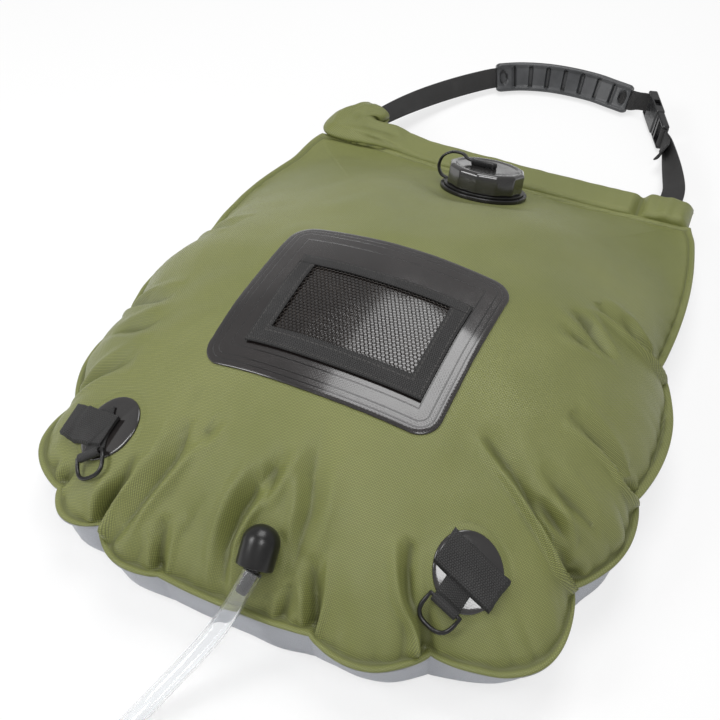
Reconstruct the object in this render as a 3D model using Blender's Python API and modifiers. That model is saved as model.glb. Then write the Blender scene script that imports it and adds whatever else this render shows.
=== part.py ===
"""Camp shower bag: a water bag of two welded panels with a filler cap, carry handle, pocket,
two D-rings, an outlet elbow, a hose and a shower head with a push-pull valve.

Lengths are in metres and angles in degrees. The bag lies on its grey back panel on the plane
z = 0, X runs across it, +Y points to the carry handle and +Z is up.
"""
import math

import bmesh
import bpy
import numpy as np
from mathutils import Matrix
from mathutils import Vector
from mathutils.bvhtree import BVHTree

# General fits
fit_gap = 0.0003
overrun = 0.010

# Water bag
bag_half_width = 0.200
bag_half_length = 0.260
crown_height = 0.130
crown_y_share = -0.115
seam_height = 0.039
top_seam_height = 0.028
panel_wall = 0.0012
seam_flange_width = 0.004
lobe_depth = 0.016
outline_step = 0.0180
crease_share = 0.35
side_steepness = 0.58
bottom_steepness = 0.75
top_steepness = 1.42

# Each gather notch as shares of the half width and half length, then the bulge of the lobe
# that follows it as a share of the lobe depth. The last stretch is the straight top edge.
notch_shares = (
    (0.860, 0.935, 0.62),
    (0.905, 0.162, 0.94),
    (0.955, -0.323, 0.84),
    (0.850, -0.642, 2.35),
    (0.525, -0.935, 1.08),
    (0.170, -0.992, 0.20),
    (-0.345, -0.981, 0.73),
    (-0.615, -0.904, 0.81),
    (-0.820, -0.846, 1.20),
    (-0.970, -0.577, 0.80),
    (-1.025, -0.231, 0.85),
    (-0.985, 0.173, 0.75),
    (-0.860, 0.935, 0.0),
)
crown_ring_shares = (0.0, 0.012, 0.035, 0.08, 0.15, 0.26, 0.42, 0.66)
# Rings of the back panel: share of the way in, then share of the seam height
base_ring_shares = ((0.0, 1.0), (0.005, 0.55), (0.022, 0.16), (0.055, 0.0))

# Top sleeve and its webbing
sleeve_half_length = bag_half_width * notch_shares[0][0]
sleeve_width = 0.030
sleeve_height = 0.010
sleeve_z = 0.028
sleeve_wall_side = -1.0
# Stations along the sleeve: share of its half length, then height as a multiple of the flat part
sleeve_stations = ((-1.0, 2.3), (-0.93, 2.5), (-0.82, 2.0), (-0.68, 1.25), (-0.52, 1.0), (0.55, 1.0),
                   (0.82, 1.05), (1.0, 1.35))
strap_width = 0.020
strap_thickness = 0.0015
strap_exit_inset = 0.022
strap_exit_x = sleeve_half_length - strap_exit_inset
strap_exit_clearance = 0.004

# Filler neck and cap
filler_edge_distance = 0.075
filler_y = bag_half_length - filler_edge_distance
filler_tilt = 22.0
seat_radius = 0.042
seat_fade = 0.034
seat_height = 0.0545
neck_bore_radius = 0.0235
neck_radius = 0.0260
neck_height = 0.0160
neck_stub = 0.004
panel_hole_clearance = 0.0006
base_flange_radius = 0.0375
base_flange_thickness = 0.0035
thread_pitch = 0.004
thread_start = 0.0075
neck_thread_turns = 1.5
neck_thread_radius = 0.0009
cap_thread_turns = 1.0
cap_thread_radius = 0.0007
cap_radius = 0.0330
cap_height = 0.0170
cap_facets = 12
cap_edge = 0.0016
cap_bore_radius = 0.0272
cap_top_thickness = 0.0033
gasket_thickness = 0.0015
gasket_width = 0.0045

# Cap tether
tether_ring_width = 0.0075
tether_thickness = 0.0014
tether_strap_width = 0.005
tether_strap_thickness = 0.0022
tether_reach = 0.0095
tether_rise = 0.0070
button_length = 0.022
button_width = 0.0080
button_height = 0.0036
button_overhang = 0.008
button_pin_radius = 0.0020
button_pin_length = 0.0026

# Pocket
patch_x = -0.0105
patch_y = -0.070
patch_width = 0.169
patch_length = 0.143
patch_corner = 0.016
patch_thickness = 0.0010
patch_turn = -4.0
pocket_x = -0.007
pocket_y = -0.0785
pocket_width = 0.126
pocket_length = 0.084
pocket_corner = 0.003
mesh_thickness = 0.0008
side_binding_width = 0.0125
bottom_binding_width = 0.0140
top_hem_width = 0.0085
binding_thickness = 0.0014

# D-ring fittings: how far the tab is in from the bag's side and its lower end, its turn, the
# band's own turn, and how far the weld disc and the band lie along X from the tab
ring_sides = {
    "left": {"side": -1, "side_inset": 0.0510, "end_inset": 0.0740, "turn": 16.0, "band_turn": -12.0,
             "disc_shift": 0.0070, "band_shift": -0.0080},
    "right": {"side": 1, "side_inset": 0.0865, "end_inset": 0.0560, "turn": -18.0, "band_turn": -17.0,
              "disc_shift": 0.0, "band_shift": 0.0010},
}
disc_radius = 0.0213
tab_width = 0.0185
disc_thickness = 0.0012
tab_thickness = 0.0014
tab_start = 0.012
ring_distance = 0.0205
loop_bore_radius = 0.0018
loop_lift = 0.0018
band_length = 0.0400
band_width = 0.0200
band_thickness = 0.0018
band_offset = 0.0015
ring_wire_radius = 0.0014
ring_half_width = 0.0114
ring_straight = 0.0040
ring_depth = 0.0160
ring_squareness = 0.72
ring_rest_gap = 0.0004
ring_droop_limit = 12

# Outlet, hose and shower head
elbow_lift = 0.01145
hood_radius = 0.0119
hood_length = 0.0170
hood_turn = 16.0
hose_radius = 0.0060
hose_bore_radius = 0.0044
hose_bore_depth = 0.0170
barb_radius = 0.0041
barb_core_radius = 0.0034
barb_bore_radius = 0.0022
barb_reach = 0.0150
barb_root = 0.0090
outlet_stub_radius = 0.0075
outlet_stub_length = 0.0120
outlet_bore_radius = 0.0035
hose_step = 0.012
coil_turns = 1.25
coil_outer_radius = 0.0680
coil_pitch = 0.0128
coil_points_per_turn = 24
coil_climb_turns = 0.28
coil_rest_height = 0.0063
coil_straight = 0.012
head_axis_height = 0.0228
nut_length = 0.0120
nut_radius = 0.0085
stem_radius = 0.0100
stem_length = 0.0215
stem_neck_radius = 0.0078
spigot_radius = 0.0060
spigot_length = 0.0180
head_bore_radius = 0.0030
rose_radius = 0.0225
rose_collar_radius = 0.0090
rose_collar_length = 0.0120
rose_cone_length = 0.0200
rose_rim_length = 0.0060
rose_wall = 0.0020
rose_face_thickness = 0.0020
rose_face_recess = 0.0006
rose_hole_radius = 0.0008
rose_hole_rings = ((0.0065, 6), (0.0130, 12))

# Handle: the carry loop behind the bag
loop_half_width = strap_exit_x
loop_reach = 0.186
loop_rest_height = 0.0155
grip_width = 0.0290
grip_thickness = 0.0090
grip_rim_width = 0.0045
grip_slot_count = 7
grip_slot_depth = 0.0026
grip_slot_length = 0.0036
grip_channel_gap = 0.0004
handle_step = 0.009
# Left run and grip: shares of the loop's half width, of its reach and of the drop from the
# sleeve to the rest height, then the lean of the webbing from upright in degrees
left_route_shares = (
    (-1.000, 0.000, 0.00, 90.0), (-1.000, 0.055, 0.02, 90.0), (-0.960, 0.160, 0.10, 78.0),
    (-0.880, 0.330, 0.34, 62.0), (-0.785, 0.495, 0.64, 48.0), (-0.670, 0.648, 0.86, 38.0),
    (-0.540, 0.783, 0.97, 30.0), (-0.413, 0.884, 1.00, 28.0),
)
grip_route_shares = (
    (-0.413, 0.884, 1.00, 28.0), (-0.267, 0.948, 1.00, 28.0), (-0.100, 0.988, 1.00, 28.0),
    (0.067, 1.000, 1.00, 28.0), (0.247, 0.990, 1.00, 28.0), (0.390, 0.960, 1.00, 28.0),
    (0.510, 0.934, 1.00, 28.0),
)
right_route_shares = (
    (0.860, 0.550, 0.97, 16.0), (0.905, 0.432, 0.86, 34.0), (0.950, 0.300, 0.62, 54.0),
    (0.988, 0.165, 0.28, 74.0), (1.000, 0.080, 0.05, 90.0), (1.000, 0.000, 0.00, 90.0),
)
buckle_x_share = 0.655
buckle_y_share = 0.943
buckle_heading = -67.6
buckle_lean = 6.0
bar_lead = 0.0075
twist_length = 0.011

# Side-release buckle, along its own axis from the socket's bar
socket_length = 0.0360
buckle_width = 0.0260
buckle_thickness = 0.0090
buckle_edge = 0.0014
bar_radius = 0.0018
socket_slot_end = 0.0066
socket_floor = 0.0090
socket_cavity_half_width = 0.0105
socket_cavity_height = 0.0056
window_start = 0.0140
window_end = 0.0250
tongue_length = 0.0270
tongue_thickness = 0.0070
guide_half_width = 0.0024
tongue_part_height = 0.0048
guide_tip = 0.0120
rail_width = 0.0024
ladder_bar_width = 0.0034
prong_root_inner = 0.0064
prong_root_outer = 0.0094
prong_barb = 0.0124
prong_tip = 0.0126
tail_length = 0.026

# Route of the free hose, chosen by hand from the elbow to the start of the coil, with Y measured
# from the bag's lower end
hose_route_from_end = (
    (-0.0066, 0.0114, 0.0661), (-0.0103, 0.0003, 0.0567), (-0.0140, -0.0105, 0.0476),
    (-0.0187, -0.0210, 0.0389), (-0.0251, -0.0319, 0.0300), (-0.0320, -0.0430, 0.0218),
    (-0.0392, -0.0560, 0.0142), (-0.0455, -0.0700, 0.0092), (-0.0510, -0.0860, 0.0068),
    (-0.0552, -0.1030, 0.0064), (-0.0580, -0.1200, 0.0063), (-0.0592, -0.1320, 0.0063),
    (-0.0595, -0.1424, 0.0063),
)
coil_x = 0.0085
coil_reach = 0.1551
coil_centre = (coil_x, -bag_half_length - coil_reach)

origin_frame = Matrix.Identity(4)


def clear_scene():
    for thing in list(bpy.data.objects):
        bpy.data.objects.remove(thing, do_unlink=True)


def make_collection(name):
    collection = bpy.data.collections.new(name)
    bpy.context.scene.collection.children.link(collection)
    return collection


clear_scene()
parts = make_collection("camp_shower_bag")
guides = make_collection("cutters")


def finish(name, color, roughness, metallic=0.0, alpha=1.0):
    """A Principled material with the part's own colour."""
    made = bpy.data.materials.new(name)
    made.use_nodes = True
    shader = made.node_tree.nodes["Principled BSDF"]
    shader.inputs["Base Color"].default_value = (*color, 1.0)
    shader.inputs["Roughness"].default_value = roughness
    shader.inputs["Metallic"].default_value = metallic
    shader.inputs["Alpha"].default_value = alpha
    return made


olive = finish("olive_oxford", (0.19, 0.21, 0.075), 0.45)
grey = finish("grey_back", (0.36, 0.37, 0.39), 0.5)
vinyl = finish("black_vinyl", (0.02, 0.018, 0.018), 0.12)
webbing = finish("black_webbing", (0.018, 0.018, 0.018), 0.75)
plastic = finish("black_plastic", (0.02, 0.02, 0.022), 0.35)
rubber = finish("black_rubber", (0.025, 0.025, 0.025), 0.55)
netting = finish("pocket_netting", (0.09, 0.085, 0.06), 0.6)
clear_hose = finish("clear_hose", (0.85, 0.87, 0.88), 0.1, 0.0, 0.4)


def add_object(name, mesh, frame=origin_frame, material=None, guide=False):
    made = bpy.data.objects.new(name, mesh)
    (guides if guide else parts).objects.link(made)
    made.matrix_world = frame
    if material:
        made.data.materials.append(material)
    if guide:
        made.hide_render = True
        made.display_type = "WIRE"
    return made


def as_guide(thing):
    """Moves an object to the cutters, where the build leaves it out."""
    for collection in list(thing.users_collection):
        collection.objects.unlink(thing)
    guides.objects.link(thing)
    thing.hide_render = True
    thing.display_type = "WIRE"
    return thing


def mesh_from(name, bm):
    mesh = bpy.data.meshes.new(name)
    bm.to_mesh(mesh)
    bm.free()
    return mesh


def shade(thing, angle=40.0):
    thing.data.shade_smooth()
    thing.data.set_sharp_from_angle(angle=math.radians(angle))


def boolean(thing, operand, operation):
    step = thing.modifiers.new(operation.lower(), "BOOLEAN")
    step.operation = operation
    step.solver = "EXACT"
    step.object = operand
    return step


def cylinder(name, radius, low, high, sides=32, frame=origin_frame, material=None, guide=False,
             top_radius=None):
    """A closed cylinder or cone along the frame's Z from low to high."""
    bm = bmesh.new()
    lift = Matrix.Translation((0.0, 0.0, (low + high) / 2))
    bmesh.ops.create_cone(bm, cap_ends=True, segments=sides, radius1=radius,
                          radius2=radius if top_radius is None else top_radius,
                          depth=high - low, matrix=lift)
    return add_object(name, mesh_from(name, bm), frame, material, guide)


def box(name, low, high, frame=origin_frame, material=None, guide=False):
    """A closed box between two corners of the frame."""
    bm = bmesh.new()
    size = Vector(high) - Vector(low)
    middle = (Vector(high) + Vector(low)) / 2
    place = Matrix.Translation(middle) @ Matrix.Diagonal((*size, 1.0))
    bmesh.ops.create_cube(bm, size=1.0, matrix=place)
    return add_object(name, mesh_from(name, bm), frame, material, guide)


def turned(name, profile, sides, frame=origin_frame, material=None, guide=False):
    """A closed profile of (radius, z) points turned about the frame's Z axis."""
    bm = bmesh.new()
    corners = [bm.verts.new((radius, 0.0, z)) for radius, z in profile]
    for start, end in zip(corners, corners[1:] + corners[:1]):
        bm.edges.new((start, end))
    made = add_object(name, mesh_from(name, bm), frame, material, guide)
    screw = made.modifiers.new("turn", "SCREW")
    screw.steps = sides
    screw.render_steps = sides
    screw.use_merge_vertices = True
    screw.merge_threshold = 0.00001
    return made


def plate(name, outline, thickness, frame=origin_frame, material=None, guide=False):
    """A flat outline in the frame's XY plane, as a filled curve of the given thickness."""
    curve = bpy.data.curves.new(name, "CURVE")
    curve.dimensions = "2D"
    curve.fill_mode = "BOTH"
    curve.extrude = thickness / 2
    spline = curve.splines.new("POLY")
    spline.points.add(len(outline) - 1)
    for point, (x, y) in zip(spline.points, outline):
        point.co = (x, y, 0.0, 1.0)
    spline.use_cyclic_u = True
    return as_mesh(add_object(name, curve, frame, material, guide))


def as_mesh(thing):
    """Replaces a curve object by its evaluated mesh, with its loose caps welded."""
    bpy.context.view_layer.update()
    evaluated = thing.evaluated_get(bpy.context.evaluated_depsgraph_get())
    mesh = bpy.data.meshes.new_from_object(evaluated)
    bm = bmesh.new()
    bm.from_mesh(mesh)
    bmesh.ops.remove_doubles(bm, verts=bm.verts, dist=0.00001)
    bmesh.ops.recalc_face_normals(bm, faces=bm.faces)
    bm.to_mesh(mesh)
    bm.free()
    name = thing.name
    frame = thing.matrix_world.copy()
    material = thing.data.materials[0] if thing.data.materials else None
    is_guide = thing.name in guides.objects
    bpy.data.objects.remove(thing, do_unlink=True)
    mesh.materials.clear()
    return add_object(name, mesh, frame, material, is_guide)


def tube(name, points, radius, resolution, frame=origin_frame, material=None, guide=False,
         cyclic=False):
    """A round tube along a poly line, with filled caps."""
    curve = bpy.data.curves.new(name, "CURVE")
    curve.dimensions = "3D"
    curve.bevel_depth = radius
    curve.bevel_resolution = resolution
    curve.use_fill_caps = not cyclic
    spline = curve.splines.new("POLY")
    spline.points.add(len(points) - 1)
    for target, point in zip(spline.points, points):
        target.co = (*point, 1.0)
    spline.use_cyclic_u = cyclic
    return as_mesh(add_object(name, curve, frame, material, guide))


def strap(name, route, width, thickness, material=None, guide=False, frame=origin_frame):
    """A flat band: an open strip along (point, width direction) pairs, given its thickness."""
    bm = bmesh.new()
    rows = []
    for centre, across in route:
        rows.append((bm.verts.new(centre - across * width / 2), bm.verts.new(centre + across * width / 2)))
    for (a, b), (c, d) in zip(rows, rows[1:]):
        bm.faces.new((a, b, d, c))
    made = add_object(name, mesh_from(name, bm), frame, material, guide)
    wall = made.modifiers.new("wall", "SOLIDIFY")
    wall.thickness = thickness
    wall.offset = 0.0
    wall.use_even_offset = True
    return made


def ring_band(name, bore_radius, thickness, width, frame, sides=20, guide=False, material=None):
    """A webbing loop: an open cylinder wall about the frame's Z axis, given its thickness."""
    bm = bmesh.new()
    bmesh.ops.create_cone(bm, cap_ends=False, segments=sides, radius1=bore_radius,
                          radius2=bore_radius, depth=width)
    made = add_object(name, mesh_from(name, bm), frame, material, guide)
    wall = made.modifiers.new("wall", "SOLIDIFY")
    wall.thickness = thickness
    wall.offset = 1.0
    return made


def smoothstep(share):
    clipped = min(max(share, 0.0), 1.0)
    return clipped * clipped * (3 - 2 * clipped)


def curve_through(stations, step):
    """Points at an even step along a smooth curve through the given stations."""
    rows = [np.array(row, dtype=float) for row in stations]
    rows = [2 * rows[0] - rows[1]] + rows + [2 * rows[-1] - rows[-2]]
    dense = []
    samples = 40
    for k in range(1, len(rows) - 2):
        a, b, c, d = rows[k - 1:k + 3]
        for j in range(samples):
            t = j / samples
            dense.append(0.5 * (2 * b + (c - a) * t + (2 * a - 5 * b + 4 * c - d) * t ** 2
                                + (3 * b - a - 3 * c + d) * t ** 3))
    dense.append(rows[-2])
    dense = np.array(dense)
    length = np.concatenate(([0.0], np.cumsum(np.linalg.norm(np.diff(dense[:, :3], axis=0), axis=1))))
    count = max(2, round(length[-1] / step) + 1)
    even = np.linspace(0.0, length[-1], count)
    return [np.array([np.interp(at, length, dense[:, k]) for k in range(dense.shape[1])]) for at in even]


def frame_from(origin, x_axis, z_axis):
    """A right-handed frame at a point, from its X axis and its rough Z axis."""
    x = Vector(x_axis).normalized()
    y = Vector(z_axis).cross(x).normalized()
    z = x.cross(y)
    made = Matrix.Identity(4)
    for column, axis in enumerate((x, y, z)):
        for row in range(3):
            made[row][column] = axis[row]
    made.translation = Vector(origin)
    return made


# Water bag surface

def seam_outline():
    """The scalloped seam line in plan, and how close each point is to a gather notch."""
    places = []
    closeness = []
    count = len(notch_shares)
    scale = np.array([bag_half_width, bag_half_length])
    for k in range(count):
        x_share, y_share, bulge_share = notch_shares[k]
        start = np.array([x_share, y_share]) * scale
        end = np.array(notch_shares[(k + 1) % count][:2]) * scale
        run = end - start
        length = np.linalg.norm(run)
        outward = np.array([-run[1], run[0]]) / length
        pieces = max(4, round(length / outline_step))
        for j in range(pieces):
            share = j / pieces
            swell = math.sin(math.pi * share) ** 0.8
            places.append(start + run * share + outward * lobe_depth * bulge_share * swell)
            closeness.append(1 - swell if bulge_share else 0.0)
    return np.array(places), np.array(closeness)


seam_line, notch_closeness = seam_outline()
smooth_line = seam_line.copy()
for _ in range(24):
    smooth_line = (np.roll(smooth_line, 1, 0) + 2 * smooth_line + np.roll(smooth_line, -1, 0)) / 4
crown_centre = np.array([0.0, crown_y_share * bag_half_length])
seam_top_share = np.array([smoothstep((y / bag_half_length + 0.1) / 1.0) for y in seam_line[:, 1]])
seam_bottom_share = np.array([smoothstep((-y / bag_half_length - 0.5) / 0.4) for y in seam_line[:, 1]])
seam_z = seam_height + (top_seam_height - seam_height) * seam_top_share ** 3
steepness = side_steepness + (top_steepness - side_steepness) * seam_top_share
steepness = steepness + (bottom_steepness - steepness) * seam_bottom_share


def plan_ring(share):
    """The bag's outline a share of the way in from the seam, its gathers fading inwards."""
    fade = (1 - share) ** 10
    outline = fade * seam_line + (1 - fade) * smooth_line
    return crown_centre + (1 - share) * (outline - crown_centre)


def seat_blend(x, y, z):
    """Flattens the panel under the stiff filler flange."""
    distance = math.hypot(x, y - filler_y)
    weight = 1 - smoothstep((distance - seat_radius) / seat_fade)
    plane = seat_height - (y - filler_y) * math.tan(math.radians(filler_tilt))
    return z + (plane - z) * weight


def flange_ring(height):
    outward = smooth_line - crown_centre
    outward = outward / np.linalg.norm(outward, axis=1)[:, None]
    places = seam_line + outward * seam_flange_width
    return [Vector((x, y, z)) for (x, y), z in zip(places, height)]


def crown_rings():
    """Rings of the front panel's outer surface, from the seam flange to near the middle."""
    base = seam_z + fit_gap / 2 + panel_wall
    rings = [flange_ring(base)]
    for share in crown_ring_shares:
        rise = (1 - (1 - share) ** 2) ** steepness
        rise = rise * (1 - crease_share * notch_closeness * (1 - share) ** 14)
        heights = base + (crown_height - base) * rise
        rings.append([Vector((x, y, seat_blend(x, y, z) if share > 0.05 else z))
                      for (x, y), z in zip(plan_ring(share), heights)])
    return rings


def base_rings():
    """Rings of the back panel's outer surface, from the seam flange to near the middle."""
    low_seam = seam_z - fit_gap / 2 - panel_wall
    rings = [flange_ring(low_seam)]
    for share, height_share in base_ring_shares:
        rings.append([Vector((x, y, z * height_share)) for (x, y), z in zip(plan_ring(share), low_seam)])
    return rings


def loft(rings, apex, downward=False):
    """A surface through rings of equal count, closed at its inner end by a fan to the apex."""
    bm = bmesh.new()
    rows = [[bm.verts.new(place) for place in ring] for ring in rings]
    top = bm.verts.new(apex)
    count = len(rings[0])
    faces = []
    for outer, inner in zip(rows, rows[1:]):
        for k in range(count):
            faces.append(bm.faces.new((outer[k], inner[k], inner[(k + 1) % count], outer[(k + 1) % count])))
    for k in range(count):
        faces.append(bm.faces.new((rows[-1][k], top, rows[-1][(k + 1) % count])))
    bm.normal_update()
    facing_up = sum(face.normal.z * face.calc_area() for face in faces) > 0
    if facing_up == downward:
        bmesh.ops.reverse_faces(bm, faces=faces)
    bmesh.ops.triangulate(bm, faces=bm.faces, quad_method="FIXED")
    return bm


front_rings = crown_rings()
front_apex = Vector((crown_centre[0], crown_centre[1], crown_height))
surface_mesh = loft(front_rings, front_apex)
surface_tree = BVHTree.FromBMesh(surface_mesh)
surface_mesh.free()


def surface_point(x, y):
    """The point of the front panel's outer surface above a plan place."""
    hit = surface_tree.ray_cast(Vector((x, y, 1.0)), Vector((0.0, 0.0, -1.0)))
    return hit[0]


def surface_normal(x, y, feel):
    """The surface's normal at a plan place, averaged over a small cross."""
    along_x = surface_point(x + feel, y) - surface_point(x - feel, y)
    along_y = surface_point(x, y + feel) - surface_point(x, y - feel)
    return along_x.cross(along_y).normalized()


def lifted_crown(name, lift):
    """A closed block under the front panel's outer surface, raised by a layer height."""
    bm = loft(front_rings, front_apex)
    bm.normal_update()
    moves = [(vert, vert.co + vert.normal * lift) for vert in bm.verts]
    for vert, place in moves:
        vert.co = place
    rim = [edge for edge in bm.edges if edge.is_boundary]
    skirt = bmesh.ops.extrude_edge_only(bm, edges=rim)
    low = [item for item in skirt["geom"] if isinstance(item, bmesh.types.BMVert)]
    for vert in low:
        vert.co.z = -overrun
    low_edges = [item for item in skirt["geom"] if isinstance(item, bmesh.types.BMEdge)]
    bmesh.ops.contextual_create(bm, geom=[edge for edge in low_edges if edge.is_boundary])
    bmesh.ops.recalc_face_normals(bm, faces=bm.faces)
    return add_object(name, mesh_from(name, bm), guide=True)


crown_blocks = {}


def crown_block(lift):
    key = round(lift, 6)
    if key not in crown_blocks:
        crown_blocks[key] = lifted_crown("crown_%d" % len(crown_blocks), lift)
    return crown_blocks[key]


def lay_on_bag(thing, low, high):
    """Trims an upright prism to a layer between two heights over the front panel."""
    boolean(thing, crown_block(high), "INTERSECT")
    boolean(thing, crown_block(low), "DIFFERENCE")
    return thing


# Heights of the layers welded and sewn on the front panel
patch_low = fit_gap
patch_high = patch_low + patch_thickness
pocket_low = patch_high + fit_gap
pocket_high = pocket_low + mesh_thickness
binding_low = pocket_high + fit_gap
binding_high = binding_low + binding_thickness
disc_high = fit_gap + disc_thickness
tab_low = disc_high + fit_gap
tab_high = tab_low + tab_thickness
band_low = tab_high + fit_gap
band_high = band_low + band_thickness

# Filler frame: Z along the neck, its origin on the front panel
tilt = math.radians(filler_tilt)
filler_normal = Vector((0.0, math.sin(tilt), math.cos(tilt)))
filler_frame = frame_from((0.0, filler_y, seat_height), (1.0, 0.0, 0.0), filler_normal)

def lifted_route():
    """The free hose's route, stretched in height so that it starts a set height over the panel."""
    start_x, start_y, start_z = hose_route_from_end[0]
    foot = surface_point(start_x, start_y - bag_half_length)
    stretch = (foot.z + elbow_lift - coil_rest_height) / (start_z - coil_rest_height)
    return tuple((x, y - bag_half_length, coil_rest_height + (z - coil_rest_height) * stretch)
                 for x, y, z in hose_route_from_end)


# Outlet frame: X along the hose as it leaves the elbow
hose_route = lifted_route()
hose_start = Vector(hose_route[0])
hose_heading = (Vector(hose_route[2]) - hose_start).normalized()
outlet_frame = frame_from(hose_start, hose_heading, (0.0, 0.0, 1.0))


def upright_prism(name, outline, material):
    """A tall prism over a plan outline, to be trimmed to a layer."""
    height = crown_height + 2 * overrun
    frame = Matrix.Translation((0.0, 0.0, height / 2))
    return plate(name, outline, height, frame, material)


def turned_outline(outline, x, y, angle):
    c = math.cos(math.radians(angle))
    s = math.sin(math.radians(angle))
    return [(x + c * u - s * v, y + s * u + c * v) for u, v in outline]


def rounded_rectangle(width, length, radius, steps=5):
    points = []
    for corner, (sx, sy) in enumerate(((1, 1), (-1, 1), (-1, -1), (1, -1))):
        cx = sx * (width / 2 - radius)
        cy = sy * (length / 2 - radius)
        for k in range(steps + 1):
            angle = math.pi / 2 * (corner + k / steps)
            points.append((cx + radius * math.cos(angle), cy + radius * math.sin(angle)))
    return points


def circle_outline(radius, steps):
    return [(radius * math.cos(2 * math.pi * k / steps), radius * math.sin(2 * math.pi * k / steps))
            for k in range(steps)]


# Panels

def panel(name, rings, apex, material, downward):
    made = add_object(name, mesh_from(name, loft(rings, apex, downward)), material=material)
    wall = made.modifiers.new("wall", "SOLIDIFY")
    wall.thickness = panel_wall
    wall.offset = -1.0
    wall.use_even_offset = False
    return made


def make_panels():
    front = panel("front_panel", front_rings, front_apex, olive, False)
    neck_hole = cylinder("neck_hole", neck_radius + panel_hole_clearance, -overrun, overrun,
                         frame=filler_frame, guide=True)
    boolean(front, neck_hole, "DIFFERENCE")
    outlet_hole = cylinder("outlet_hole", outlet_stub_radius + fit_gap, -overrun, overrun, 24,
                           outlet_stub_frame(), guide=True)
    boolean(front, outlet_hole, "DIFFERENCE")
    back_apex = Vector((crown_centre[0], crown_centre[1], 0.0))
    back = panel("back_panel", base_rings(), back_apex, grey, True)
    shade(front)
    shade(back)


def make_sleeve():
    """The open hem tube along the top edge, with the webbing that runs through it."""
    centre_y = sleeve_centre_y()
    bm = bmesh.new()
    base = sleeve_z - sleeve_height / 2
    corner = sleeve_height / 2 - fit_gap
    rings = []
    for share, rise in sleeve_stations:
        outline = rounded_rectangle(sleeve_width, sleeve_height * rise, corner)
        rings.append([bm.verts.new((share * sleeve_half_length, centre_y + y, base + sleeve_height * rise / 2 + z))
                      for y, z in outline])
    count = len(rings[0])
    for low, high in zip(rings, rings[1:]):
        for k in range(count):
            bm.faces.new((low[k], high[k], high[(k + 1) % count], low[(k + 1) % count]))
    bmesh.ops.recalc_face_normals(bm, faces=bm.faces)
    made = add_object("top_sleeve", mesh_from("top_sleeve", bm), material=olive)
    wall = made.modifiers.new("wall", "SOLIDIFY")
    wall.thickness = panel_wall
    wall.offset = sleeve_wall_side
    wall.use_even_offset = True
    inner = strap_exit_x - strap_width / 2 - strap_exit_clearance
    for side in (-1, 1):
        near, far = sorted((side * inner, side * (sleeve_half_length + overrun)))
        rear_cut = box("sleeve_cut_%s" % ("left" if side < 0 else "right"),
                       (near, centre_y - sleeve_width / 8, sleeve_z - sleeve_height),
                       (far, centre_y + sleeve_width, sleeve_z + sleeve_width), guide=True)
        boolean(made, rear_cut, "DIFFERENCE")
    shade(made)
    half = strap_exit_x + strap_width / 2
    rear = strap_line_y() - strap_thickness / 2 - fit_gap / 2
    box("sleeve_webbing", (-half, rear - strap_width, strap_line_z() - strap_thickness / 2),
        (half, rear, strap_line_z() + strap_thickness / 2), material=webbing)


def sleeve_centre_y():
    top_edge = bag_half_length * notch_shares[0][1] + seam_flange_width
    return top_edge + fit_gap + sleeve_width / 2


def strap_line_y():
    """Where the handle webbing leaves the sleeve, on the line that the handle swings about."""
    return sleeve_centre_y() + strap_width / 2


def strap_line_z():
    return sleeve_z - sleeve_height / 2 + panel_wall + fit_gap + strap_thickness / 2


# Filler

def helix(turns, radius, start):
    steps = 20
    count = round(turns * steps)
    return [(radius * math.cos(2 * math.pi * k / steps), radius * math.sin(2 * math.pi * k / steps),
             start + thread_pitch * k / steps) for k in range(count + 1)]


def make_filler():
    neck = turned("filler_neck", ((neck_radius, neck_height), (neck_radius, -neck_stub),
                                  (neck_bore_radius, -neck_stub), (neck_bore_radius, neck_height)),
                  44, filler_frame, plastic)
    flange = cylinder("base_flange_disc", base_flange_radius, -overrun, base_flange_thickness, 40,
                      filler_frame, guide=True)
    boolean(flange, crown_block(fit_gap), "DIFFERENCE")
    flange_bore = cylinder("flange_bore", (neck_bore_radius + neck_radius) / 2, -2 * overrun,
                           2 * overrun, 44, filler_frame, guide=True)
    boolean(flange, flange_bore, "DIFFERENCE")
    boolean(neck, flange, "UNION")
    thread = tube("neck_thread", helix(neck_thread_turns, neck_radius, thread_start),
                  neck_thread_radius, 1, filler_frame, guide=True)
    boolean(neck, thread, "UNION")
    shade(neck)


tether_low = base_flange_thickness + fit_gap
cap_low = tether_low + tether_thickness + fit_gap
cap_high = cap_low + cap_height
cavity_top = cap_high - cap_top_thickness


def make_cap():
    cap = cylinder("filler_cap", cap_radius, cap_low, cap_high, cap_facets, filler_frame, plastic)
    edge = cap.modifiers.new("edge", "BEVEL")
    edge.width = cap_edge
    edge.segments = 2
    edge.limit_method = "ANGLE"
    edge.angle_limit = math.radians(25.0)
    cavity = cylinder("cap_cavity", cap_bore_radius, cap_low - overrun, cavity_top, 44,
                      filler_frame, guide=True)
    boolean(cap, cavity, "DIFFERENCE")
    thread = tube("cap_thread", helix(cap_thread_turns, cap_bore_radius, thread_start + thread_pitch / 2),
                  cap_thread_radius, 1, filler_frame, guide=True)
    boolean(cap, thread, "UNION")
    pin_hole = cylinder("button_hole", button_pin_radius + fit_gap,
                        cap_high - button_pin_length - fit_gap, cap_high + overrun, 16,
                        filler_frame, guide=True)
    boolean(cap, pin_hole, "DIFFERENCE")
    shade(cap, 20.0)
    gasket_high = cavity_top - fit_gap
    gasket_low = gasket_high - gasket_thickness
    gasket_outer = cap_bore_radius - cap_thread_radius - fit_gap
    turned("cap_gasket", ((gasket_outer, gasket_high), (gasket_outer, gasket_low),
                          (gasket_outer - gasket_width, gasket_low), (gasket_outer - gasket_width, gasket_high)),
           36, filler_frame, rubber)


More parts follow.
